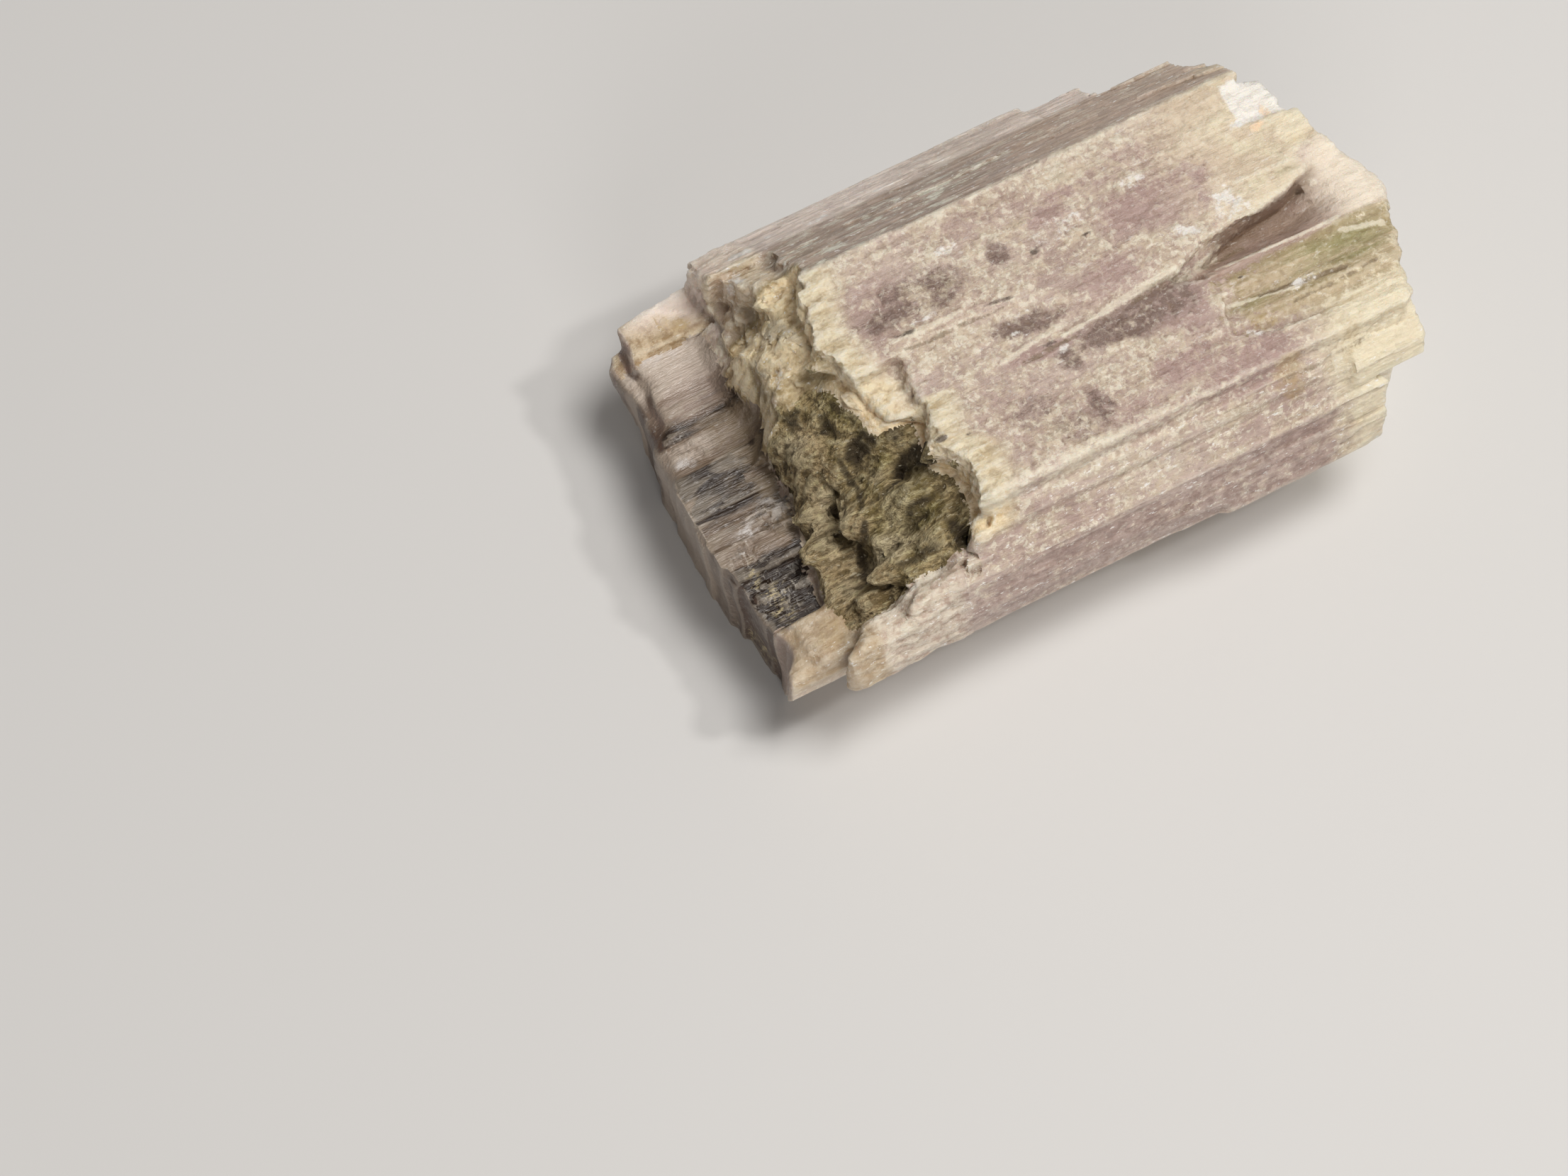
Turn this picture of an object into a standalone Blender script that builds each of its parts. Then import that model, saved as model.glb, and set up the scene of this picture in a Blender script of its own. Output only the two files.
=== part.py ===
"""Aragonite crystal: long parallel slabs grown together into one stout, stepped prism.

The crystal lies on a flat prism face. Its length runs along X: the low glassy terrace is at -X,
the splintered end at +X. +Y is the back, with the broad slanted prism face, and +Z is up.
Sizes are in millimetres, and MM turns them into metres.
"""

import random

import bmesh
import bpy
from mathutils import Vector, noise

MM = 0.001

# Cross-section of the whole prism, as (y, z)
FOOT_BACK = (6.2, 0.0)
BACK_CORNER = (9.75, 7.85)
BACK_RIDGE = (4.7, 12.55)
FRONT_RIDGE = (-7.7, 12.55)
FRONT_SHOULDER = (-9.1, 8.8)
FRONT_CORNER = (-9.98, 5.4)
FRONT_UNDERCUT = (-8.6, 4.7)
FOOT_FRONT = (-6.4, 0.0)
PRISM_ENDS = (-17.5, 16.5)

# Heights of the steps, from the terrace at the low end up to the plateau
TERRACE = 5.45
LEDGE_LOW = 7.2
LEDGE_HIGH = 8.7
PLATEAU = 12.5
UNDER = -1.0

# Every broken end is a staircase of splinters
SPLINTER_WIDTH = 0.75
SPLINTER_STEP = 0.22
INNER_SPAN = (-6.1, 10.0)

BACK_SLOPE = (BACK_CORNER[1] - BACK_RIDGE[1]) / (BACK_CORNER[0] - BACK_RIDGE[0])
SEED = 11


def new_collection(name, hidden=False):
    collection = bpy.data.collections.new(name)
    collection.hide_render = hidden
    bpy.context.scene.collection.children.link(collection)
    return collection


def add_object(name, bm, collection, helper=True):
    mesh = bpy.data.meshes.new(name)
    bmesh.ops.recalc_face_normals(bm, faces=bm.faces)
    bm.to_mesh(mesh)
    bm.free()
    obj = bpy.data.objects.new(name, mesh)
    collection.objects.link(obj)
    if helper:
        obj.hide_render = True
        obj.display_type = "WIRE"
    return obj


def stone_material(name):
    material = bpy.data.materials.new(name)
    material.use_nodes = True
    shader = material.node_tree.nodes["Principled BSDF"]
    shader.inputs["Base Color"].default_value = (0.56, 0.44, 0.38, 1.0)
    shader.inputs["Roughness"].default_value = 0.45
    shader.inputs["Metallic"].default_value = 0.0
    return material


def splinter_edge(start, end, rng, step):
    """Breaks an edge that crosses the length into splinters of uneven width and reach."""
    (x0, y0), (x1, y1) = start, end
    count = round(abs(y1 - y0) / SPLINTER_WIDTH)
    buried = all(INNER_SPAN[0] < x < INNER_SPAN[1] for x in (x0, x1))
    if count < 2 or buried or abs(x1 - x0) > 1.5 * abs(y1 - y0):
        return [start]
    cuts = sorted(min(max((i + rng.uniform(-0.3, 0.3)) / count, 0), 1) for i in range(1, count))
    cuts = [0.0] + cuts + [1.0]
    points = [start]
    for i in range(count):
        middle = (cuts[i] + cuts[i + 1]) / 2
        reach = x0 + (x1 - x0) * middle + rng.uniform(-step, step)
        slant = rng.uniform(-0.4, 0.4) * step
        if i > 0:
            points.append((reach + slant, y0 + (y1 - y0) * cuts[i]))
        if i < count - 1:
            points.append((reach - slant, y0 + (y1 - y0) * cuts[i + 1]))
    return points


def slab(name, outline, top, lean=(0.0, 0.0), foot=UNDER, step=SPLINTER_STEP):
    """A slab of the crystal. The outline starts at the back left and goes round by the front."""
    rng = random.Random(f"{SEED} {name}")
    ring = []
    for start, end in zip(outline, outline[1:] + outline[:1]):
        ring += splinter_edge(start, end, rng, step)
    bm = bmesh.new()
    verts = [bm.verts.new((x * MM, y * MM, foot * MM)) for x, y in ring]
    base = bm.faces.new(verts)
    bmesh.ops.recalc_face_normals(bm, faces=[base])
    raised = bmesh.ops.extrude_face_region(bm, geom=[base])
    x0, y0 = outline[0]
    for vert in (item for item in raised["geom"] if isinstance(item, bmesh.types.BMVert)):
        rise = lean[0] * (vert.co.x / MM - x0) + lean[1] * (vert.co.y / MM - y0)
        vert.co.z = (top + rise) * MM
    return add_object(name, bm, slabs)


def lump(name, centre, size, collection, turn=0):
    """A rounded, slightly knobbly bump, or the hollow that one leaves."""
    bm = bmesh.new()
    bmesh.ops.create_icosphere(bm, subdivisions=2, radius=1.0)
    for vert in bm.verts:
        swell = 1.0 + 0.42 * noise.noise(vert.co * 1.2 + Vector((turn, SEED, 2.7 * turn)))
        place = [c + r * swell * v for c, r, v in zip(centre, size, vert.co)]
        vert.co = Vector(place) * MM
    return add_object(name, bm, collection)


def reach_at(edge, y):
    """x of a broken edge, given as points from the back to the front, at this y."""
    for (x0, y0), (x1, y1) in zip(edge, edge[1:]):
        if y1 <= y <= y0:
            return x0 + (x1 - x0) * (y0 - y) / max(y0 - y1, 1e-6)
    return edge[-1][0]


def rim_lumps(name, edge, spans, top, size, gap, inset):
    """A row of rounded lumps along the top of a broken edge."""
    rng = random.Random(f"{SEED} {name}")
    y = spans[0]
    index = 0
    while y > spans[1]:
        wide = size * rng.uniform(0.6, 1.3)
        x = reach_at(edge, y) + inset + rng.uniform(-0.25, 0.35)
        radii = (wide * rng.uniform(1.0, 1.6), wide * rng.uniform(0.7, 1.1), wide * 0.8)
        lump(f"{name} {index}", (x, y, top - wide * rng.uniform(0.5, 0.8)), radii, slabs, 7 * index + y)
        y -= gap * rng.uniform(0.65, 1.35)
        index += 1


for old in list(bpy.data.objects):
    bpy.data.objects.remove(old, do_unlink=True)

crystal_parts = new_collection("aragonite crystal")
slabs = new_collection("slabs", hidden=True)
pits = new_collection("pits", hidden=True)

# Prism that trims every slab to the flat crystal faces
prism_mesh = bmesh.new()
section = [FOOT_BACK, BACK_CORNER, BACK_RIDGE, FRONT_RIDGE, FRONT_SHOULDER, FRONT_CORNER,
           FRONT_UNDERCUT, FOOT_FRONT]
corners = [prism_mesh.verts.new((PRISM_ENDS[0] * MM, y * MM, z * MM)) for y, z in section]
end_face = prism_mesh.faces.new(corners)
drawn = bmesh.ops.extrude_face_region(prism_mesh, geom=[end_face])
moved = [item for item in drawn["geom"] if isinstance(item, bmesh.types.BMVert)]
bmesh.ops.translate(prism_mesh, verts=moved, vec=((PRISM_ENDS[1] - PRISM_ENDS[0]) * MM, 0, 0))
prism = add_object("prism", prism_mesh, pits)

# Terrace: the low glassy end, from its outer edge to where the splinters end on the right
TERRACE_END = [
    (-14.7, 9.6), (-14.9, 7.6), (-15.0, 5.5), (-15.4, 3.0), (-15.6, 0.5), (-15.55, -2.0),
    (-15.1, -4.3), (-14.9, -6.0), (-15.1, -7.4), (-15.8, -8.0), (-15.9, -8.5),
]
RIGHT_FOOT = [
    (10.9, -8.6), (11.1, -7.0), (12.6, -6.0), (13.3, -4.5), (14.0, -2.5), (13.5, 0.1),
    (12.7, 2.0), (12.2, 4.5), (11.5, 7.3), (7.2, 9.6),
]
terrace = TERRACE_END + RIGHT_FOOT
slab("terrace", terrace, TERRACE, step=0.14)

# Long strips on the terrace, as (back, front, height, inset from the end)
STRIPS = [
    (9.5, 7.5, 6.35, 0.75), (7.65, 4.25, 5.95, 0.7), (4.3, 1.85, 5.7, 0.35), (2.0, -0.2, 5.95, 0.05),
    (-0.1, -1.95, 5.7, 0.1), (-1.85, -3.45, 6.05, 0.05), (-3.3, -4.6, 5.6, 0.25),
]
for number, (back, front, height, inset) in enumerate(STRIPS):
    ends = [(reach_at(TERRACE_END, y) + inset, y) for y in (back, front)]
    outline = ends + [(-6.0, front), (-6.0, back)]
    slab(f"strip {number}", outline, height, lean=(0.03, 0.0), step=0.1)

# Raised corners of the terrace: front shelf, front corner and the chipped cream block at the back
slab("front corner", [(-15.0, -6.0), (-15.1, -7.2), (-15.7, -7.9), (-15.85, -8.4), (-12.0, -8.45),
     (-12.0, -6.1)], 5.95, step=0.1)
slab("front shelf", [(-14.45, -6.1), (-14.7, -7.4), (-14.4, -8.45), (-8.0, -8.5), (-8.0, -6.15)],
     6.35, lean=(0.22, 0.0), step=0.15)
slab("back block", [(-14.2, 9.6), (-14.1, 8.6), (-12.2, 7.3), (-9.0, 7.35), (-9.0, 9.7)],
     6.7, lean=(0.1, 0.25), step=0.15)

# Ledges that climb from the terrace to the plateau
LOW_RIM = [
    (-10.9, 9.2), (-11.0, 6.8), (-11.3, 4.8), (-10.9, 3.0), (-10.8, 1.4), (-11.9, 0.5),
    (-11.8, -1.3), (-12.2, -3.0), (-12.6, -4.4), (-12.9, -5.9), (-12.5, -6.9),
]
slab("low ledge", LOW_RIM + [(-5.0, -6.8), (-5.0, 9.1)], LEDGE_LOW, lean=(0.12, 0.02))
BACK_BENCH = [(-10.5, 9.1), (-10.3, 7.0), (-10.6, 5.6), (-10.1, 3.9), (-9.8, 2.2)]
slab("back bench low", BACK_BENCH + [(-5.0, 2.3), (-5.0, 9.0)], 8.1, lean=(0.25, 0.0))
BACK_STEP = [(-9.6, 8.6), (-9.3, 6.2), (-9.7, 4.4), (-9.3, 2.6)]
slab("back bench high", BACK_STEP + [(-5.0, 2.7), (-5.0, 8.5)], 9.3, lean=(0.3, 0.05))
slab("bench step", [(-9.9, 5.95), (-9.7, 4.6), (-9.15, 3.4), (-7.0, 3.3), (-7.0, 5.9)],
     10.5, lean=(0.3, 0.28))
HIGH_RIM = [(-9.5, 0.9), (-9.9, -1.7), (-10.6, -3.8), (-10.75, -5.7), (-10.6, -7.4)]
slab("high ledge", HIGH_RIM + [(-4.0, -7.3), (-4.0, 1.0)], LEDGE_HIGH, lean=(0.28, 0.02))
slab("middle knob", [(-8.9, 1.9), (-9.1, 0.2), (-8.7, -1.2), (-8.2, -1.9), (-4.0, -2.0), (-4.0, 2.0)],
     10.0, lean=(0.25, 0.05))

# Slanted prism face at the back, as nested strips: (left, right, reach at the back, how deep)
BACK_STRIPS = [
    (-8.1, 11.75, 6.6, 0.12), (-8.35, 11.0, 7.85, 0.02), (-11.3, 7.4, 9.3, 0.14), (-11.1, 4.7, 10.2, 0.0),
]
for number, (left, right, reach, deep) in enumerate(BACK_STRIPS):
    inner = BACK_RIDGE[0] - 0.2 if number < 2 else 7.7
    height = BACK_RIDGE[1] - deep + BACK_SLOPE * (reach - BACK_RIDGE[0])
    outline = [(left, reach), (left + 0.15, inner), (right + 0.2, inner + 0.02), (right, reach - 0.01)]
    slab(f"back strip {number}", outline, height, lean=(0.0, BACK_SLOPE), step=0.16)
bench_height = BACK_RIDGE[1] - 0.6 + BACK_SLOPE * (8.6 - BACK_RIDGE[0])
slab("back strip bench", [(-10.4, 8.6), (-10.2, 6.6), (-9.3, 5.6), (-7.0, 5.5), (-7.0, 8.5)],
     bench_height, lean=(0.0, BACK_SLOPE))

# Plateau: the back slab, whose front edge stands over a groove and then over a hollow
BACK_SLAB_RIM = [(-8.5, 4.8), (-9.0, 2.8), (-9.3, 1.5), (-8.9, 0.4), (-8.75, -0.45)]
slab("back slab", BACK_SLAB_RIM + [
    (-6.6, -0.3), (-5.4, -0.2), (-1.0, -0.6), (1.0, -1.75), (4.1, -2.3), (6.8, -2.0), (8.2, -1.5),
    (10.8, -1.2), (12.6, -0.35), (14.0, -0.2), (13.4, 0.8), (13.25, 2.05), (10.95, 2.2), (11.0, 4.1),
    (11.75, 4.25), (11.7, 4.85),
], PLATEAU)
slab("back slab lobe", [(-8.7, 0.6), (-8.5, -1.1), (-8.3, -2.1), (-7.4, -2.5), (-5.0, -2.4), (-5.0, 0.7)],
     11.6, lean=(0.06, 0.05))
FRONT_SLAB_RIM = [(-6.6, 0.2), (-6.7, -2.5), (-7.2, -4.6), (-6.5, -5.4), (-6.6, -6.9), (-6.9, -7.55)]
slab("front slab", FRONT_SLAB_RIM + [
    (12.9, -7.5), (12.95, -6.9), (7.5, -6.3), (5.7, -5.7), (6.1, -4.3), (6.2, -3.0), (4.5, -2.4),
    (4.0, 0.0),
], 12.3, lean=(-0.02, 0.0))

# Right end of the plateau: layered strips, the smooth end lobe and a chalky block
LAYERS = [(-2.95, -3.9, 14.3, 11.9), (-3.85, -4.75, 14.2, 11.7), (-4.7, -5.6, 13.8, 11.85),
          (-5.55, -6.5, 13.5, 11.65), (-6.4, -7.3, 13.2, 11.75)]
for number, (back, front, right, height) in enumerate(LAYERS):
    outline = [(4.0, back), (4.1, front), (right, front), (right + 0.1, back)]
    slab(f"layer {number}", outline, height, step=0.1)
slab("end lobe", [(11.7, 0.1), (11.9, -1.8), (11.8, -3.3), (14.5, -3.4), (14.95, -2.6), (14.85, -1.7),
     (14.35, -0.7), (13.9, 0.0)], 12.25, lean=(-0.12, 0.03), step=0.04)
slab("chalky block", [(10.8, 4.3), (10.7, 2.1), (12.75, 2.15), (12.7, 4.05)], 12.35, step=0.1)
slab("hollow floor", [(2.0, 0.5), (2.0, -3.1), (12.2, -3.2), (12.5, 0.4)], 11.7, lean=(-0.09, 0.0))

# Front: the sloping slab below the ridge, its overhanging tip, and the two lowest slabs
FRONT_SLOPE = 1.75
slab("front slope", [(-6.1, -7.2), (-6.6, -7.9), (-7.4, -8.3), (-7.3, -9.6), (10.9, -9.6), (10.95, -7.2)],
     11.95, lean=(0.0, FRONT_SLOPE), step=0.12)
slab("front tip", [(10.0, -6.8), (10.0, -9.3), (13.2, -9.25), (13.3, -8.4), (13.1, -6.9)],
     11.8, lean=(-0.05, 0.9), foot=9.2, step=0.15)
slab("front ridge", [(-5.2, -7.8), (-5.6, -8.2), (8.6, -8.3), (8.9, -7.85)], 11.2, lean=(0.0, 1.6))
slab("low slab right", [(-9.9, -8.2), (-10.3, -8.9), (-11.0, -9.85), (-9.9, -9.68), (-4.0, -9.55),
     (0.5, -9.6), (3.4, -9.75), (3.7, -9.95), (9.6, -9.95), (11.1, -9.8), (11.5, -9.2), (11.05, -8.2)],
     8.85, lean=(0.0, 0.1), step=0.15)
slab("low slab left", [(-12.5, -8.1), (-12.8, -8.8), (-13.9, -9.2), (-13.6, -9.85), (-8.0, -9.65),
     (-8.0, -8.15)], 8.05, lean=(0.08, 0.1), step=0.15)

# Rounded lumps along the broken rims
rim_lumps("low rim lump", LOW_RIM, (0.3, -6.3), LEDGE_LOW + 0.25, 0.62, 1.0, 0.35)
rim_lumps("low rim back lump", LOW_RIM, (6.5, 1.6), LEDGE_LOW + 0.5, 0.5, 1.2, 0.6)
rim_lumps("high rim lump", HIGH_RIM, (0.4, -6.9), LEDGE_HIGH + 0.3, 0.75, 1.1, 0.45)
rim_lumps("bench lump", BACK_STEP, (5.4, 3.0), 10.1, 0.7, 1.1, 0.4)
rim_lumps("back slab lump", BACK_SLAB_RIM, (4.0, -0.2), PLATEAU - 0.4, 0.8, 1.0, 0.45)
rim_lumps("front slab lump", FRONT_SLAB_RIM, (-0.6, -7.0), PLATEAU - 0.55, 0.75, 1.0, 0.4)

# Rounded ends of the low front slabs, and lumps scattered over the stepped slope
KNOBS = [
    ((-12.9, -9.3, 7.4), (0.9, 0.7, 0.8)), ((-10.0, -8.9, 8.4), (0.9, 0.7, 0.7)),
    ((-8.5, -8.6, 8.8), (0.9, 0.5, 0.5)), ((-8.2, -3.4, 9.9), (0.9, 0.7, 0.6)),
    ((-7.7, -6.2, 9.9), (0.9, 0.7, 0.7)), ((-8.4, -0.4, 10.1), (0.9, 0.8, 0.7)),
    ((-8.9, 3.4, 9.9), (0.7, 0.8, 0.7)), ((-7.0, -7.9, 9.6), (0.8, 0.5, 1.0)),
    ((-11.3, -7.3, 7.2), (1.0, 0.6, 0.5)), ((-9.4, -7.6, 8.4), (0.9, 0.5, 0.6)),
]
for number, (centre, size) in enumerate(KNOBS):
    lump(f"knob {number}", centre, size, slabs, turn=number * 1.7)

# Pits in the stepped slope, and the hollow under the back slab's front edge
PITS = [
    ((8.7, -2.2, 12.2), (3.3, 0.8, 1.25)), ((-9.6, 1.7, 8.9), (0.6, 0.9, 1.1)),
    ((-8.0, -2.3, 10.4), (0.7, 0.5, 0.9)), ((-7.7, -7.3, 10.6), (0.6, 0.5, 1.1)),
    ((-9.3, -2.4, 9.3), (0.6, 0.7, 0.8)), ((-12.2, 8.0, 7.3), (1.2, 0.7, 0.75)),
]
for number, (centre, size) in enumerate(PITS):
    lump(f"pit {number}", centre, size, pits, turn=5 + number * 2.3)

# One solid: every slab joined, the pits taken out, the whole trimmed by the prism
body = slabs.objects["terrace"]
slabs.objects.unlink(body)
pits.objects.unlink(prism)
crystal_parts.objects.link(body)
body.hide_render = False
body.display_type = "TEXTURED"
for operation, collection in (("UNION", slabs), ("DIFFERENCE", pits)):
    modifier = body.modifiers.new(operation.lower(), "BOOLEAN")
    modifier.solver = "EXACT"
    modifier.operation = operation
    modifier.operand_type = "COLLECTION"
    modifier.collection = collection
trim = body.modifiers.new("trim", "BOOLEAN")
trim.solver = "EXACT"
trim.operation = "INTERSECT"
trim.object = prism
prism_home = new_collection("trimming prism", hidden=True)
prism_home.objects.link(prism)

bpy.context.view_layer.update()
joined = body.evaluated_get(bpy.context.evaluated_depsgraph_get())
crystal_mesh = bpy.data.meshes.new_from_object(joined)
for helper in [obj for obj in bpy.data.objects if obj is not body]:
    bpy.data.objects.remove(helper, do_unlink=True)
bpy.data.objects.remove(body, do_unlink=True)

# Only the crystal itself is kept: chips that touch nothing fall away
WELD = 0.0015 * MM
bm = bmesh.new()
bm.from_mesh(crystal_mesh)
bmesh.ops.remove_doubles(bm, verts=bm.verts, dist=WELD)
bmesh.ops.dissolve_degenerate(bm, dist=WELD, edges=bm.edges)
bmesh.ops.triangulate(bm, faces=bm.faces)
unseen = set(bm.verts)
pieces = []
while unseen:
    front = [unseen.pop()]
    piece = set(front)
    while front:
        vert = front.pop()
        near = {edge.other_vert(vert) for edge in vert.link_edges} & unseen
        unseen -= near
        piece |= near
        front += near
    pieces.append(piece)
pieces.sort(key=len)
chips = [vert for piece in pieces[:-1] for vert in piece]
bmesh.ops.delete(bm, geom=chips, context="VERTS")

# Origin under the middle of the crystal, on the face it rests on
lows = [min(vert.co[axis] for vert in bm.verts) for axis in range(3)]
highs = [max(vert.co[axis] for vert in bm.verts) for axis in range(3)]
middle = Vector(((lows[0] + highs[0]) / 2, (lows[1] + highs[1]) / 2, lows[2]))
bmesh.ops.translate(bm, verts=bm.verts, vec=-middle)
crystal = add_object("aragonite_crystal", bm, crystal_parts, helper=False)
crystal.data.materials.append(stone_material("aragonite"))
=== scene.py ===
"""An aragonite crystal: its cloudy lilac and cream body, and its glassy terrace, on a pale table."""

import math

import bmesh
import bpy
import numpy as np
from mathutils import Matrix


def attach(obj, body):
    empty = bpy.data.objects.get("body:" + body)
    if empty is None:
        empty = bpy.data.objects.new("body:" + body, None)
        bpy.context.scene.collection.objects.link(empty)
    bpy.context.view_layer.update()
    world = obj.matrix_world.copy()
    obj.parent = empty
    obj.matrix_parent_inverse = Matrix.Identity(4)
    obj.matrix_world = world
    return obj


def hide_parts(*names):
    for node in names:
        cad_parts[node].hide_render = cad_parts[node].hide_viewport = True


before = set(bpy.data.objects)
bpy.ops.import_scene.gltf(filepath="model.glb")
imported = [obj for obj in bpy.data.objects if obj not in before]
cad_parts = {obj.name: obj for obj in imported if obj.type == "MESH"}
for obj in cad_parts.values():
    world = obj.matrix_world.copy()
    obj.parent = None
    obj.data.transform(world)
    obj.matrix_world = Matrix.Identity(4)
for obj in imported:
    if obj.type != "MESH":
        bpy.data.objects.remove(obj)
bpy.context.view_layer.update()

# The crystal's shape. It is one natural stone, grown as long parallel slabs: a low glassy terrace,
# a lumpy stepped slope, a flat crusted plateau and a splintered far end. The fixed solid gives every
# slab and step; here it gets the grain, crust, lumps and broken edges that growth and breakage leave.
MM = 0.001
FINE = 0.000105
MOST_TRIANGLES = 192_000

# Where the slope begins and where the plateau's broken edge stands: y, and x there, in millimetres
LOW_RIM_Y = (-6.8, -5.8, -4.3, -2.9, -1.2, 0.6, 1.5, 3.1, 4.9, 6.9, 9.3)
LOW_RIM_X = (-12.3, -12.6, -12.4, -12.0, -11.6, -11.6, -10.8, -10.6, -10.9, -10.6, -10.7)
TOP_RIM_Y = (-7.5, -6.8, -5.3, -4.5, -2.4, -2.2, -0.3, 0.5, 1.6, 2.9, 4.9, 6.0, 9.0)
TOP_RIM_X = (-6.4, -6.1, -6.0, -6.7, -6.3, -7.8, -8.3, -8.4, -8.8, -8.5, -8.0, -7.7, -7.7)

# The lip that overhangs the smooth hollow at the right: x, and y there
LIP_X = (5.0, 6.8, 7.6, 9.1, 10.4, 11.4, 12.2, 12.9)
LIP_Y = (-2.15, -2.05, -1.72, -1.38, -1.2, -1.08, -0.8, -0.5)

# How light each strip of the terrace is, from sooty 0 to rosy 1: y, and the tone there
STRIP_Y = (
    -6.1, -5.9, -3.0, -2.8, -1.1, -0.9, -0.3, -0.15, 0.45, 0.55, 0.85, 0.95, 2.0, 2.15, 2.7, 2.8, 3.55, 3.7,
    4.3, 4.4, 5.1, 5.2, 5.5, 5.6, 6.9, 7.0, 7.5,
)
STRIP_TONE = (
    0.5, 0.08, 0.08, 0.42, 0.45, 0.3, 0.3, 0.10, 0.10, 0.6, 0.6, 0.04, 0.06, 0.5, 0.5, 0.7, 0.7, 0.2, 0.22,
    0.34, 0.34, 0.5, 0.5, 0.82, 0.8, 0.95, 0.95,
)
# The same for the left end face below it, from brown 0 to pale grey-lilac 1
END_Y = (-9.0, -7.2, -6.8, -6.1, -5.9, -3.0, -2.7, -1.5, -1.2, 2.1, 2.4, 3.6, 3.8, 6.0, 6.2, 6.9, 7.1)
END_TONE = (0.45, 0.4, 0.7, 0.7, 0.15, 0.2, 0.5, 0.5, 0.85, 0.8, 0.75, 0.75, 0.1, 0.12, 0.9, 0.9, 0.05)

# Lumps that swell out of the stepped slope, and the dips between them: the middle, how far each
# reaches, and its height, in millimetres
SWELLINGS = (
    (-8.7, -0.4, 1.1, 1.0, 0.5), (-8.3, -4.7, 1.6, 1.2, 0.75), (-8.4, -6.5, 1.5, 0.8, 0.6),
    (-7.4, -5.9, 0.8, 0.6, 0.4), (-7.7, -3.7, 0.9, 0.6, -1.3), (-9.2, -2.0, 0.7, 0.5, -0.9),
    (-7.9, -5.6, 1.0, 0.3, -0.3), (-9.3, -3.6, 0.7, 0.5, 0.3), (-9.4, 3.2, 0.8, 1.6, 0.5),
)
# Gaps between the front slabs that are filled up: x from and to, y from and to, and the height
GAPS = ((-7.95, -6.4, -8.15, -7.1, 9.5), (-10.25, -7.6, -8.2, -7.7, 8.6), (-7.5, -6.4, -8.6, -7.8, 9.5))

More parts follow.
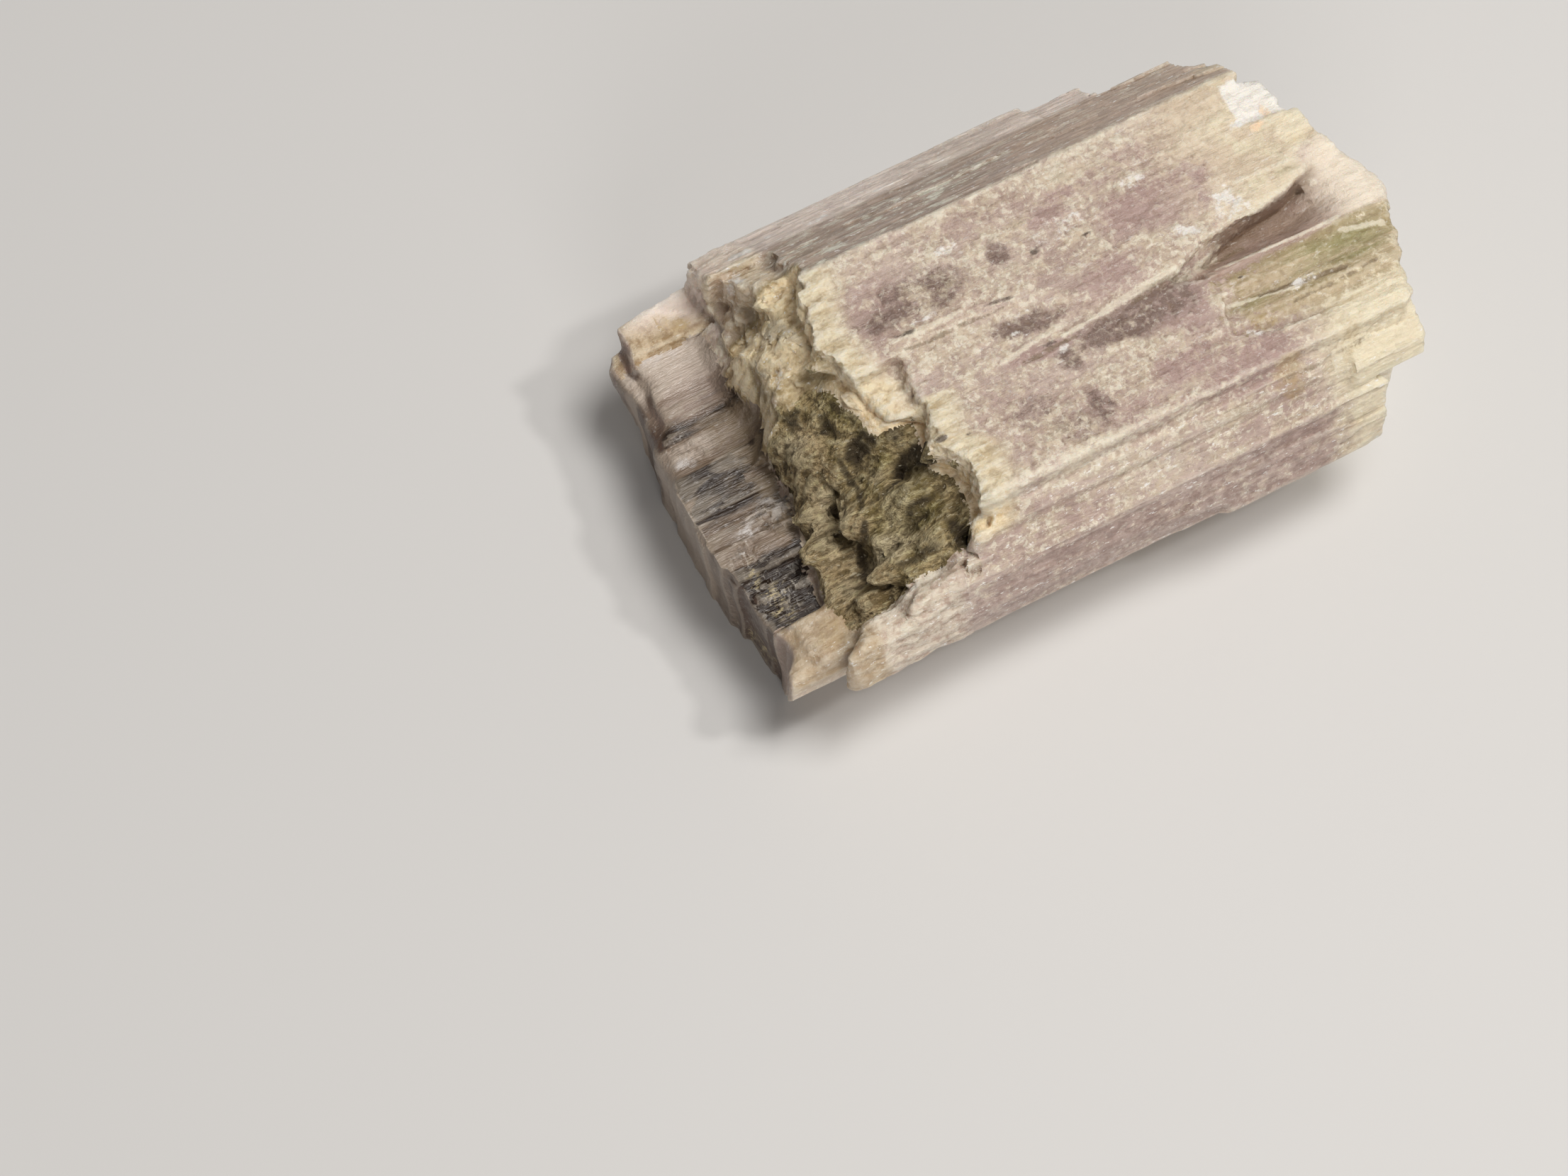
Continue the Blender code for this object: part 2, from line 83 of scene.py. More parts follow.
# Marks seen from above. The small white spots among them are painted glints, the silver and gold ones painted
# flashes. Each spot is its middle, how far it reaches, and its strength, in millimetres
SPOTS = {
    "smoky": (
        (-5.4, 1.3, 1.3, 0.8, 0.9), (-3.3, 2.1, 1.0, 0.7, 0.8), (-3.4, 1.1, 1.2, 0.8, 0.8),
        (-0.7, 2.1, 0.6, 0.9, 0.7), (-5.3, 2.4, 0.8, 0.6, 0.6), (-4.4, 1.6, 2.8, 1.6, 0.45),
        (-0.6, -1.5, 1.9, 0.55, 1.0), (0.3, -3.7, 0.8, 0.7, 0.8), (2.9, -3.4, 2.0, 1.1, 1.0),
        (4.6, -3.2, 2.0, 1.3, 0.8), (4.8, -2.55, 2.8, 0.45, 0.9), (-0.3, -5.9, 0.7, 0.7, 0.7),
        (-1.6, -6.2, 1.4, 0.9, 0.5), (-2.8, -5.0, 1.4, 0.9, 0.4),
    ),
    "lilac": (
        (2.0, 2.7, 1.4, 0.6, 0.9), (3.1, 3.4, 1.0, 0.5, 0.9), (5.1, 3.3, 2.4, 0.9, 0.6),
        (6.8, 1.0, 3.8, 1.5, 1.0), (3.8, -5.8, 1.7, 0.6, 1.0), (5.2, -3.8, 1.5, 1.9, 1.0),
        (6.0, -6.9, 2.4, 1.4, 0.8), (3.0, -0.9, 2.0, 0.8, 0.7), (-0.5, -2.9, 2.4, 0.4, 1.0),
        (7.6, -2.9, 1.6, 0.5, 1.0), (-6.0, 2.6, 1.6, 1.0, 0.5), (1.5, -6.6, 2.2, 0.8, 0.4),
    ),
    "painted glint": (
        (-0.8, -0.95, 0.6, 0.22, 0.65), (-1.1, -1.7, 0.3, 0.25, 0.55), (6.4, -0.6, 0.8, 0.45, 0.6),
        (8.8, -0.4, 1.1, 0.7, 0.65), (9.0, -2.6, 0.55, 0.28, 0.65), (11.7, 2.5, 1.0, 0.45, 0.55),
        (10.3, -4.9, 0.9, 0.24, 0.65), (6.0, 2.4, 0.9, 0.4, 0.6), (-2.6, 3.2, 0.9, 0.25, 0.7),
        (-3.9, 0.45, 1.1, 0.16, 0.55), (0.4, -3.1, 0.4, 0.3, 0.55), (2.2, 1.9, 1.5, 0.8, 0.35),
        (7.0, -5.9, 0.3, 0.25, 0.55), (-5.0, 8.6, 0.8, 0.3, 0.9), (-8.9, 8.4, 0.8, 0.3, 0.9),
        (-7.0, 9.0, 0.5, 0.2, 0.8), (-9.6, 7.0, 0.5, 0.5, 0.7), (-2.0, 8.8, 0.8, 0.2, 0.6),
        (-9.9, 2.6, 0.35, 0.5, 0.7),
    ),
    "fleck": (
        (0.9, 1.4, 0.4, 0.25, 0.8), (3.0, 1.0, 0.4, 0.12, 0.8), (-5.1, 0.1, 0.6, 0.2, 0.8),
        (-1.1, -0.2, 0.9, 0.15, 0.8), (-0.2, -2.62, 0.6, 0.16, 0.8), (-7.0, -4.3, 0.3, 0.2, 0.8),
        (-5.8, -4.6, 0.25, 0.12, 0.8), (8.0, -3.5, 0.15, 0.1, 1.0),
    ),
    # Pits: dark partly as stain and partly as painted shade
    "pit": (
        (-7.7, -3.7, 1.1, 0.7, 1.0), (-9.1, -4.2, 0.9, 0.25, 0.7), (-9.2, -2.0, 0.8, 0.5, 1.0),
        (-7.3, -7.4, 0.5, 0.9, 1.0), (-7.9, -5.6, 1.0, 0.3, 0.8), (-7.6, -4.8, 0.8, 0.5, 0.6),
        (-10.3, 0.5, 0.6, 0.7, 0.6), (-7.5, -2.35, 0.9, 0.35, 0.6), (-9.9, -0.9, 0.3, 0.8, 0.7),
        (-10.1, -2.5, 0.3, 0.9, 0.8), (-10.1, -3.7, 0.3, 0.8, 0.8), (-10.3, -5.2, 0.3, 0.9, 0.8),
        (-10.6, -6.3, 0.35, 0.6, 0.6), (-10.8, 2.6, 0.35, 1.4, 0.5), (-9.0, -7.3, 1.2, 0.3, 0.6),
    ),
    "yellow": ((12.3, -6.7, 2.2, 0.8, 1.0), (13.4, 1.3, 0.9, 1.0, 0.7), (12.2, 6.0, 1.5, 0.7, 0.5)),
    "light lump": (
        (-11.0, -0.2, 0.6, 0.7, 0.8), (-9.6, -6.3, 1.2, 0.9, 0.9), (-11.3, -3.4, 0.6, 1.6, 0.5),
        (-8.6, -1.0, 0.7, 0.5, 0.5), (-8.9, -5.3, 0.6, 1.4, 0.4), (-11.4, -6.2, 0.6, 0.7, 0.5),
        (-9.2, -3.2, 0.4, 0.4, 0.5),
    ),
    "hackle": (
        (-12.4, -1.4, 1.5, 1.1, 1.0), (-13.3, -4.4, 2.2, 1.6, 0.8), (-13.6, 3.0, 1.1, 0.9, 0.5),
        (-14.4, -2.4, 0.9, 1.0, 0.8),
    ),
    "ivory lump": ((-7.5, -1.6, 1.2, 0.9, 1.0), (-7.9, 0.3, 1.0, 1.0, 0.6)),
    "moss": (
        (-8.7, -2.9, 0.6, 0.3, 0.8), (-8.0, -6.1, 0.8, 0.4, 0.9), (-8.8, -0.8, 1.1, 1.0, 0.8),
        (-8.6, -5.2, 1.6, 1.1, 0.6), (-9.6, -6.6, 0.8, 0.5, 0.5),
    ),
    "green": (
        (10.9, -4.0, 1.5, 0.7, 0.8), (13.0, -4.2, 1.9, 0.8, 1.0), (8.0, -5.0, 1.5, 0.5, 0.45),
        (12.3, -0.3, 0.9, 0.25, 0.5),
    ),
    "orange": ((12.6, 2.6, 0.35, 0.5, 0.8), (11.9, 1.9, 0.5, 0.3, 0.7)),
    "pink ramp": ((-10.25, 7.6, 0.7, 1.6, 1.0), (-12.7, 5.2, 1.9, 1.2, 0.7)),
    "silver glint": (
        (-14.3, 2.4, 0.45, 0.3, 0.9), (-14.1, -1.5, 0.6, 0.36, 1.0), (-12.6, -0.9, 0.8, 0.6, 0.6),
        (-13.9, 7.3, 1.2, 0.3, 0.5),
    ),
    "gold glint": (
        (-14.15, -3.4, 0.3, 0.8, 0.8), (-14.1, -4.9, 0.45, 1.0, 1.0), (-14.0, -6.0, 0.3, 0.5, 0.8),
        (-13.6, -4.4, 0.6, 0.4, 0.6),
    ),
    "amber": (
        (-12.2, 8.3, 1.1, 0.8, 1.0), (-12.9, -7.6, 1.4, 0.9, 0.6), (7.2, -7.8, 1.3, 0.6, 0.7),
        (10.6, -7.6, 1.1, 0.5, 0.6), (7.6, -5.8, 0.8, 0.4, 0.7),
    ),
}
# Thin marks: both ends, half the width, and the strength
STROKES = {
    "pale line": (
        (-2.4, -2.45, 0.6, -2.05, 0.14, 1.0), (0.2, -2.55, 2.4, -2.2, 0.12, 1.0),
        (7.2, -2.62, 12.7, -2.95, 0.10, 1.0), (6.5, -4.3, 9.7, -4.85, 0.11, 1.0),
        (12.6, -3.5, 14.4, -3.95, 0.12, 1.0), (-6.4, -7.45, 1.5, -7.2, 0.3, 0.6),
        (1.5, -7.2, 9.5, -7.75, 0.24, 0.35), (-6.0, 0.35, -3.0, 0.25, 0.12, 0.9),
        (7.4, -6.0, 9.4, -6.4, 0.09, 0.7), (2.2, -2.2, 6.8, -2.1, 0.2, 0.9),
        (6.8, -2.1, 9.1, -1.42, 0.22, 1.0), (9.1, -1.42, 12.8, -0.95, 0.18, 0.9),
        (9.8, 0.15, 12.6, 0.05, 0.12, 0.7), (-7.9, 4.75, 12.0, 4.85, 0.3, 0.45),
    ),
    "dark line": (
        (8.2, -4.5, 11.9, -4.95, 0.12, 1.0), (-1.6, -2.8, 0.6, -2.75, 0.14, 0.8),
        (-5.6, -0.1, -1.4, -0.35, 0.10, 0.7), (9.2, -5.4, 13.4, -5.2, 0.10, 0.7),
        (3.4, -2.45, 9.0, -1.95, 0.16, 0.6), (6.0, -7.9, 11.5, -7.7, 0.10, 0.6),
    ),
}


def rise(low, high, value):
    """0 below low, 1 above high, with an even slope between."""
    t = np.clip((value - low) / (high - low), 0.0, 1.0)
    return t * t * (3.0 - 2.0 * t)


def fall(low, high, value):
    """1 below low, 0 above high."""
    return 1.0 - rise(low, high, value)


def wobble(x, y, z, seed):
    """A gentle uneven field, about -1 to 1, that keeps the marks from having drawn edges."""
    dice = np.random.default_rng(seed)
    total = np.zeros_like(x)
    for frequency in (0.9, 1.7, 3.1, 5.3):
        for _ in range(3):
            lean = dice.normal(size=3)
            lean = lean / np.linalg.norm(lean) * frequency
            turn = dice.uniform(0.0, 2.0 * math.pi)
            total += np.sin(x * lean[0] * 0.6 + y * lean[1] + z * lean[2] + turn) / frequency ** 0.5
    return total / 3.6


def marks(x, y, z):
    """The strength of every kind of mark at each point."""
    found = {}
    bent_x = x + 0.4 * wobble(x, y, z, 5)
    bent_y = y + 0.3 * wobble(x, y, z, 6)
    for kind, spots in SPOTS.items():
        found[kind] = np.zeros_like(x)
        for at_x, at_y, reach_x, reach_y, strength in spots:
            away = np.hypot((bent_x - at_x) / reach_x, (bent_y - at_y) / reach_y)
            found[kind] = np.maximum(found[kind], strength * fall(0.4, 1.15, away))
    for kind, strokes in STROKES.items():
        found[kind] = np.zeros_like(x)
        for x0, y0, x1, y1, half, strength in strokes:
            length = math.hypot(x1 - x0, y1 - y0)
            along = ((x - x0) * (x1 - x0) + (y - y0) * (y1 - y0)) / length**2
            along = np.clip(along, 0.0, 1.0)
            away = np.hypot(x - x0 - along * (x1 - x0), y - y0 - along * (y1 - y0)) / half
            found[kind] = np.maximum(found[kind], strength * fall(0.5, 1.3, away))
    return found


def hollowness(mesh, place, facing, passes):
    """How far each point lies below its neighbourhood, in millimetres. Crests are negative."""
    edges = np.empty(len(mesh.edges) * 2, np.int32)
    mesh.edges.foreach_get("vertices", edges)
    first, second = edges.reshape(-1, 2).T
    count = np.bincount(first, minlength=len(place)) + np.bincount(second, minlength=len(place))
    smooth = place.copy()
    for _ in range(passes):
        gathered = np.empty_like(smooth)
        for axis in range(3):
            values = smooth[:, axis]
            gathered[:, axis] = np.bincount(first, values[second], len(place))
            gathered[:, axis] += np.bincount(second, values[first], len(place))
        smooth = 0.5 * smooth + 0.5 * gathered / count[:, None]
    return ((smooth - place) * facing).sum(axis=1)


def regions(mesh, with_hollows):
    """How far each point of the crystal belongs to each kind of surface, from where it lies."""
    place = np.empty(len(mesh.vertices) * 3, np.float32)
    mesh.vertices.foreach_get("co", place)
    place = place.reshape(-1, 3).astype(np.float64) / MM
    facing = np.empty(len(mesh.vertices) * 3, np.float32)
    mesh.vertices.foreach_get("normal", facing)
    facing = facing.reshape(-1, 3).astype(np.float64)
    x, y, z = place.T
    nx = facing[:, 0]
    x = x + 0.16 * wobble(x, y, z, 1)
    y = y + 0.10 * wobble(x, y, z, 2)
    past_low = rise(-0.15, 0.15, x - np.interp(y, LOW_RIM_Y, LOW_RIM_X))
    past_rim = x - np.interp(y, TOP_RIM_Y, TOP_RIM_X)
    below_lip = np.interp(x, LIP_X, LIP_Y) - y
    on_top = rise(10.4, 11.0, z)
    back = rise(4.7, 5.0, y) * rise(6.9, 7.7, z) * rise(-11.6, -11.2, x)
    slope = past_low * fall(0.0, 0.35, past_rim) * rise(-8.2, -7.4, y) * rise(5.9, 6.5, z)
    slope *= fall(12.0, 12.4, z)
    slope *= fall(5.4, 6.2, y)
    lumps = rise(6.45, 6.7, z) * fall(-11.0, -10.5, x) * rise(-6.6, -6.2, y) * fall(4.8, 5.2, y)
    slope = np.maximum(slope, lumps)
    front = fall(-7.75, -7.5, y) * rise(0.1, 0.6, z)
    glassy_place = (1.0 - past_low) * fall(6.35, 6.7, z)
    hollow = rise(5.6, 7.0, x) * rise(-0.06, 0.06, below_lip) * rise(-3.1, -2.95, y) * on_top
    lobe = rise(11.6, 14.0, x) * rise(-3.2, -2.9, y) * fall(0.0, 0.9, y) * on_top
    upper = slope * rise(-0.4, 2.6, y + 0.7 * wobble(x, y, z, 3))
    end_face = fall(-14.2, -13.6, x) * rise(0.35, 0.65, -nx)
    end_face *= 1.0 - rise(5.4, 6.0, z) * fall(-6.4, -6.0, y)
    cliff = rise(-0.7, -0.2, past_rim) * rise(9.9, 10.7, z)
    lip_wall = fall(0.15, 0.4, np.abs(below_lip)) * fall(12.1, 12.35, z) * on_top
    under_lip = np.maximum(hollow * fall(0.1, 0.9, below_lip), lip_wall)
    under_lip = under_lip * rise(6.5, 8.5, x) * fall(12.5, 13.4, x)

    made = marks(x, y, z)
    made["pit"] *= slope
    made["painted glint"] *= np.maximum(on_top, rise(6.0, 7.0, z))
    for kind in ("smoky", "lilac", "fleck", "green", "orange", "yellow", "pale line", "dark line"):
        made[kind] *= on_top
    made["pale line"] = made["pale line"] * (1.0 - under_lip)
    made.update({
        "slope": slope,
        "upper slope": upper,
        "stain": slope * (1.0 - cliff) - upper,
        "low ledge": slope * fall(-10.4, -9.8, x),
        "foot": slope * fall(0.0, 0.8, -past_rim) * fall(0.0, 1.5, y),
        "cliff": cliff,
        "cliff foot": cliff * fall(10.6, 12.2, z),
        "ivory": np.maximum(cliff * fall(0.5, 1.9, past_rim), made["ivory lump"] * rise(8.6, 9.4, z)),
        "back": back * rise(-8.6, -8.0, x),
        "bench": back * fall(-8.6, -8.0, x),
        "back right": back * rise(0.0, 6.0, x),
        "back rim": rise(7.9, 8.3, y) * rise(5.5, 6.5, z),
        "plateau": rise(10.6, 11.4, z) * (1.0 - back) * rise(-7.75, -7.45, y) * rise(-0.1, 0.4, past_rim),
        "seam": rise(-6.2, -5.6, x) * fall(6.0, 7.0, x) * rise(-2.6, -2.0, y) * fall(0.4, 0.9, y) * on_top,
        "front": front,
        "front low": front * fall(8.6, 8.8, z) * rise(-9.6, -8.6, x) * (1.0 - 0.8 * rise(8.0, 11.5, x)),
        "front foot": front * fall(4.0, 6.0, z),
        "front ends": front * fall(-8.4, -7.6, x) * rise(-13.2, -12.6, x),
        "terrace": glassy_place * rise(-6.0, -5.7, y) * fall(7.3, 7.6, y),
        "tone": np.interp(y, STRIP_Y, STRIP_TONE),
        "tan veil": (
            glassy_place
            * (1.0 - end_face)
            * rise(-13.2, -12.3, x)
            * rise(-2.8, -2.2, y)
            * fall(3.6, 4.4, y)
        ),
        "end rim": fall(-13.9, -13.2, x) * rise(1.6, 2.4, y) * rise(3.8, 4.6, z),
        "end face": end_face,
        "end tone": np.interp(y, END_Y, END_TONE),
        "corner": glassy_place * rise(7.0, 7.4, y) * rise(5.0, 5.6, z) * (1.0 - end_face),
        "shelf": fall(-12.0, -11.5, x) * fall(-6.1, -5.8, y) * rise(4.8, 5.4, z) * (1.0 - end_face),
        "worn end": rise(7.0, 10.0, x) * rise(6.0, 8.0, z),
        "broken": rise(0.45, 0.8, np.abs(nx)) * rise(0.3, 1.2, z) * rise(-13.9, -13.2, x),
        "broken left": rise(0.3, 0.7, -nx) * rise(6.5, 7.2, z),
        "right": rise(4.5, 12.5, x) * (1.0 - lobe) * (1.0 - hollow) * (1.0 - under_lip),
        "hollow": hollow * fall(12.6, 14.0, x),
        "under lip": under_lip,
        "lobe": lobe,
        "tan end": rise(6.0, 9.5, x) * rise(-1.4, -0.4, y) * fall(4.6, 5.0, y) * (1.0 - lobe) * on_top,
        "olive patch": rise(5.4, 8.4, x) * rise(-6.3, -5.5, y) * fall(-3.2, -2.8, y) * on_top,
        "chalk": rise(11.1, 11.4, x) * rise(2.1, 2.4, y) * fall(4.3, 4.6, y) * rise(9.0, 11.0, z),
        "rest": fall(0.02, 0.5, z),
    })
    if with_hollows:
        made["cavity"] = hollowness(mesh, place, facing, 8)
        made["wide cavity"] = hollowness(mesh, place, facing, 60)
    return made


def store_regions(mesh, with_hollows=False):
    """Writes the regions to the mesh, where the relief and the materials read them."""
    for name, values in regions(mesh, with_hollows).items():
        held = mesh.attributes.get(name) or mesh.attributes.new(name, "FLOAT", "POINT")
        held.data.foreach_set("value", np.ascontiguousarray(values, dtype=np.float32))


def read_region(mesh, name):
    values = np.empty(len(mesh.vertices), np.float32)
    mesh.attributes[name].data.foreach_get("value", values)
    return values


def take_shape(piece):
    """Makes what the modifiers show the piece's own mesh, and takes the modifiers off."""
    graph = bpy.context.evaluated_depsgraph_get()
    graph.update()
    made = bpy.data.meshes.new_from_object(piece.evaluated_get(graph))
    piece.modifiers.clear()
    piece.data = made


class Graph:
    """Adds nodes to a shader or a geometry tree. Inputs are numbers, tuples or other nodes' sockets."""

    def __init__(self, tree):
        self.tree = tree

    def add(self, kind, inputs=(), **settings):
        node = self.tree.nodes.new(kind)
        for name, value in settings.items():
            setattr(node, name, value)
        for key, value in dict(inputs).items():
            if isinstance(value, bpy.types.NodeSocket):
                self.tree.links.new(value, node.inputs[key])
            else:
                node.inputs[key].default_value = value
        return node

    def math(self, operation, a, b=0.0):
        return self.add("ShaderNodeMath", {0: a, 1: b}, operation=operation).outputs[0]

    def times(self, *values):
        total = values[0]
        for value in values[1:]:
            total = self.math("MULTIPLY", total, value)
        return total

    def plus(self, *values):
        total = values[0]
        for value in values[1:]:
            total = self.math("ADD", total, value)
        return total

    def without(self, amount):
        """1 where the amount is 0, and 0 where it is 1."""
        return self.math("SUBTRACT", 1.0, amount)

    def about_zero(self, value):
        """Noise from 0 to 1, moved so that it swings about 0."""
        return self.math("SUBTRACT", value, 0.5)

    def vector(self, operation, first, second):
        return self.add("ShaderNodeVectorMath", {0: first, 1: second}, operation=operation).outputs

    def stretch(self, place, amounts):
        return self.vector("MULTIPLY", place, amounts)[0]

    def shift(self, place, amounts):
        return self.vector("ADD", place, amounts)[0]

    def noise(self, place, size, detail=3.0, rough=0.5, twist=0.0):
        """Cloudy noise from 0 to 1. The size is that of its largest features, in millimetres."""
        inputs = {"Vector": place, "Scale": 1.0 / size, "Detail": detail}
        inputs.update({"Roughness": rough, "Distortion": twist})
        return self.add("ShaderNodeTexNoise", inputs).outputs[0]

    def blocks(self, place, size):
        """Square-edged cells. It gives a random level of each cell, and its own tilted face, both about 0."""
        inputs = {"Vector": place, "Scale": 1.0 / size}
        node = self.add("ShaderNodeTexVoronoi", inputs, distance="CHEBYCHEV")
        dice = self.shift(node.outputs["Color"], (-0.5, -0.5, -0.5))
        level = self.add("ShaderNodeSeparateXYZ", {0: dice}).outputs[0]
        away = self.vector("SUBTRACT", place, node.outputs["Position"])[0]
        tilt = self.vector("DOT_PRODUCT", away, dice)["Value"]
        return level, tilt

    def ramp(self, value, low, high):
        inputs = {0: value, 1: low, 2: high}
        return self.add("ShaderNodeMapRange", inputs, interpolation_type="SMOOTHSTEP").outputs[0]

    def mix(self, amount, first, second):
        node = self.add("ShaderNodeMix", data_type="RGBA")
        for index, value in ((0, amount), (6, first), (7, second)):
            if isinstance(value, bpy.types.NodeSocket):
                self.tree.links.new(value, node.inputs[index])
            else:
                node.inputs[index].default_value = value if index == 0 else (*value, 1.0)
        return node.outputs[2]


def grain_lines(graph, place, width):
    """Growth lines that run along the crystal's length, from 0 to 1."""
    along = graph.stretch(place, (0.07, 1.0, 1.0))
    return graph.noise(along, width, detail=5.0, rough=0.62)


def crust_cover(graph, place, cover):
    """Where the pale crust lies, from 0 to 1. More cover spreads it."""
    clouds = graph.noise(graph.stretch(place, (0.75, 1.0, 1.0)), 1.9, detail=4.0, rough=0.6, twist=0.5)
    spots = graph.noise(place, 0.42, detail=5.0, rough=0.7, twist=0.6)
    both = graph.plus(graph.times(clouds, 0.5), graph.times(spots, 0.5), cover)
    return graph.ramp(both, 0.42, 0.60)


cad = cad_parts["aragonite_crystal"]
body = bmesh.new()
body.from_mesh(cad.data)
bmesh.ops.remove_doubles(body, verts=body.verts, dist=1e-7)
crystal_mesh = bpy.data.meshes.new("crystal")
body.to_mesh(crystal_mesh)
body.free()
crystal = bpy.data.objects.new("crystal", crystal_mesh)
bpy.context.scene.collection.objects.link(crystal)

remesh = crystal.modifiers.new("even mesh", "REMESH")
remesh.mode = "VOXEL"
remesh.voxel_size = FINE
take_shape(crystal)


def add_smoothing(name, wanted, factor, passes):
    """Rounds the crystal off where the given strength is above 0. Elsewhere its edges stay crisp."""
    group = crystal.vertex_groups.new(name=name)
    for level in (0.25, 0.5, 0.75, 1.0):
        chosen = np.nonzero((wanted > level - 0.25) & (wanted <= level))[0]
        group.add(chosen.tolist(), level, "REPLACE")
    smoothing = crystal.modifiers.new(name, "SMOOTH")
    smoothing.factor = factor
    smoothing.iterations = passes
    smoothing.vertex_group = name


# Below the plateau's overhanging lip a smooth hollow rises into the lobe at the end, and the terrace
# leans out a little over its foot
place = np.empty(len(crystal.data.vertices) * 3, np.float32)
crystal.data.vertices.foreach_get("co", place)
x, y, z = (place.reshape(-1, 3) / MM).T
floor_height = 12.08 - 1.1 * rise(-3.0, -1.8, y) * rise(5.4, 7.4, x) * fall(10.8, 14.0, x)
inside_hollow = rise(6.2, 6.8, x) * fall(14.2, 15.0, x) * rise(-3.02, -2.9, y)
inside_hollow *= rise(-0.04, 0.04, np.interp(x, LIP_X, LIP_Y) - y) * (z > 9.6)
z += inside_hollow * (floor_height - z)
end_lean = fall(-13.6, -12.6, x) * rise(1.0, 5.3, z) * rise(-6.5, -5.9, y)
x -= end_lean * (0.4 + 0.3 * rise(6.6, 7.4, y))
at_ledge = (z > 5.3) & (z < 6.7) & (y > 0.9) & (y < 7.3)
z += at_ledge * 0.95 * rise(-1.1, 0.0, x - np.interp(y, LOW_RIM_Y, LOW_RIM_X))

# Broken stone fills the corner between the slope and the plateau's edge
before_rim = np.interp(y, TOP_RIM_Y, TOP_RIM_X) - x
foot_height = 10.9 - 0.75 * np.clip(before_rim, 0.0, 4.0) + 0.35 * wobble(x, y, 0.0 * z, 4)
at_foot = (before_rim > -0.8) & (before_rim < 3.2) & (z > 6.5) & (z < 11.2) & (y > -7.5) & (y < 4.9)
z = np.where(at_foot, np.maximum(z, foot_height), z)

# The lumps of the slope swell out of its steps, and the gaps in the front slabs are filled up
faces_up = (z > 6.6) & (z < 11.0) & (y > -8.2)
for at_x, at_y, reach_x, reach_y, height in SWELLINGS:
    away = np.hypot((x - at_x) / reach_x, (y - at_y) / reach_y)
    z += faces_up * height * fall(0.0, 1.0, away)
for x0, x1, y0, y1, level in GAPS:
    gap = (x > x0) & (x < x1) & (y > y0) & (y < y1) & (z > 5.2)
    z = np.where(gap, np.maximum(z, level), z)
crystal.data.vertices.foreach_set("co", (np.stack([x, y, z], axis=1) * MM).astype(np.float32).ravel())
crystal.data.update()

# The lumps of the slope, the seams and lobe of the plateau and its broken edges are rounded; the flat faces
# stay crisp
store_regions(crystal.data)
add_smoothing("lumps", read_region(crystal.data, "slope"), factor=0.6, passes=60)
melted = [read_region(crystal.data, kind) for kind in ("seam", "shelf", "end rim", "lobe", "front ends")]
add_smoothing("seams", np.max(melted, axis=0), factor=0.7, passes=40)
add_smoothing("broken edge", read_region(crystal.data, "ivory"), factor=0.5, passes=12)
add_smoothing("worn end", read_region(crystal.data, "worn end"), factor=0.5, passes=14)
take_shape(crystal)
store_regions(crystal.data)

# Growth and breakage: crust, growth lines and ripples push the faces out, and the splinters and flutes
# of the broken ends run along the crystal. Each size is how far its form stands out, in millimetres.
relief = bpy.data.node_groups.new("crystal relief", "GeometryNodeTree")
relief.interface.new_socket("Geometry", in_out="INPUT", socket_type="NodeSocketGeometry")
RELIEF_SIZES = {
    "Crust": 0.07, "Grain": 0.07, "Back grain": 0.14, "Terrace steps": 0.06, "Hackle": 0.16, "Ripples": 0.08,
    "Lumps": 0.65, "Blocks": 0.10, "Crumbs": 0.36, "Splinters": 0.4, "Flutes": 0.6, "Fibres": 0.4,
    "Ridges": 0.05, "Swells": 0.38,
}
for name, size in RELIEF_SIZES.items():
    relief.interface.new_socket(name, in_out="INPUT", socket_type="NodeSocketFloat").default_value = size
relief.interface.new_socket("Geometry", in_out="OUTPUT", socket_type="NodeSocketGeometry")

carve = Graph(relief)
given = carve.add("NodeGroupInput").outputs
mm_place = carve.stretch(carve.add("GeometryNodeInputPosition").outputs[0], (1000.0, 1000.0, 1000.0))


def region(name):
    read = carve.add("GeometryNodeInputNamedAttribute", {"Name": name}, data_type="FLOAT")
    return read.outputs["Attribute"]


def rough_noise(stretched, size, **kind):
    """Noise about 0 in millimetres. Less than 1 draws it out along that axis."""
    return carve.about_zero(carve.noise(carve.stretch(mm_place, stretched), size, **kind))


lines = carve.about_zero(grain_lines(carve, mm_place, 0.55))
fine_lines = carve.about_zero(grain_lines(carve, carve.shift(mm_place, (3.0, 7.0, 1.0)), 0.22))
crust = crust_cover(carve, mm_place, 0.0)
crust_grit = carve.about_zero(carve.noise(mm_place, 0.3, detail=3.0, rough=0.6))
ripple = rough_noise((0.6, 1.0, 0.8), 0.8, detail=3.0, twist=0.6)
slope_roll = rough_noise((0.8, 1.0, 0.8), 1.5, detail=2.5, rough=0.5)
crumbs = rough_noise((0.35, 1.0, 1.0), 0.36, detail=5.0, rough=0.65)
fibres = rough_noise((0.22, 1.0, 0.8), 0.55, detail=4.0, rough=0.6)
splinters = rough_noise((0.03, 1.0, 0.25), 0.6, detail=3.0, rough=0.6)
flutes = rough_noise((0.12, 1.0, 0.5), 0.9, detail=2.5)
hackle_level, hackle_tilt = carve.blocks(carve.stretch(mm_place, (0.7, 1.0, 1.0)), 0.42)
strip_level, strip_tilt = carve.blocks(carve.stretch(mm_place, (0.12, 1.0, 0.4)), 0.8)
block_level, block_tilt = carve.blocks(carve.stretch(mm_place, (0.75, 1.0, 1.0)), 0.62)
terrace_top = carve.times(region("terrace"), carve.without(region("end face")))
smooth_places = carve.math("MAXIMUM", region("lobe"), region("hollow"))
crusted = carve.times(region("plateau"), carve.without(smooth_places))
loose = carve.times(region("slope"), carve.without(carve.times(region("cliff"), 0.8)))
fibrous = carve.times(region("ivory"), carve.without(carve.times(region("cliff foot"), 0.8)))
hackled = carve.times(region("hackle"), terrace_top)

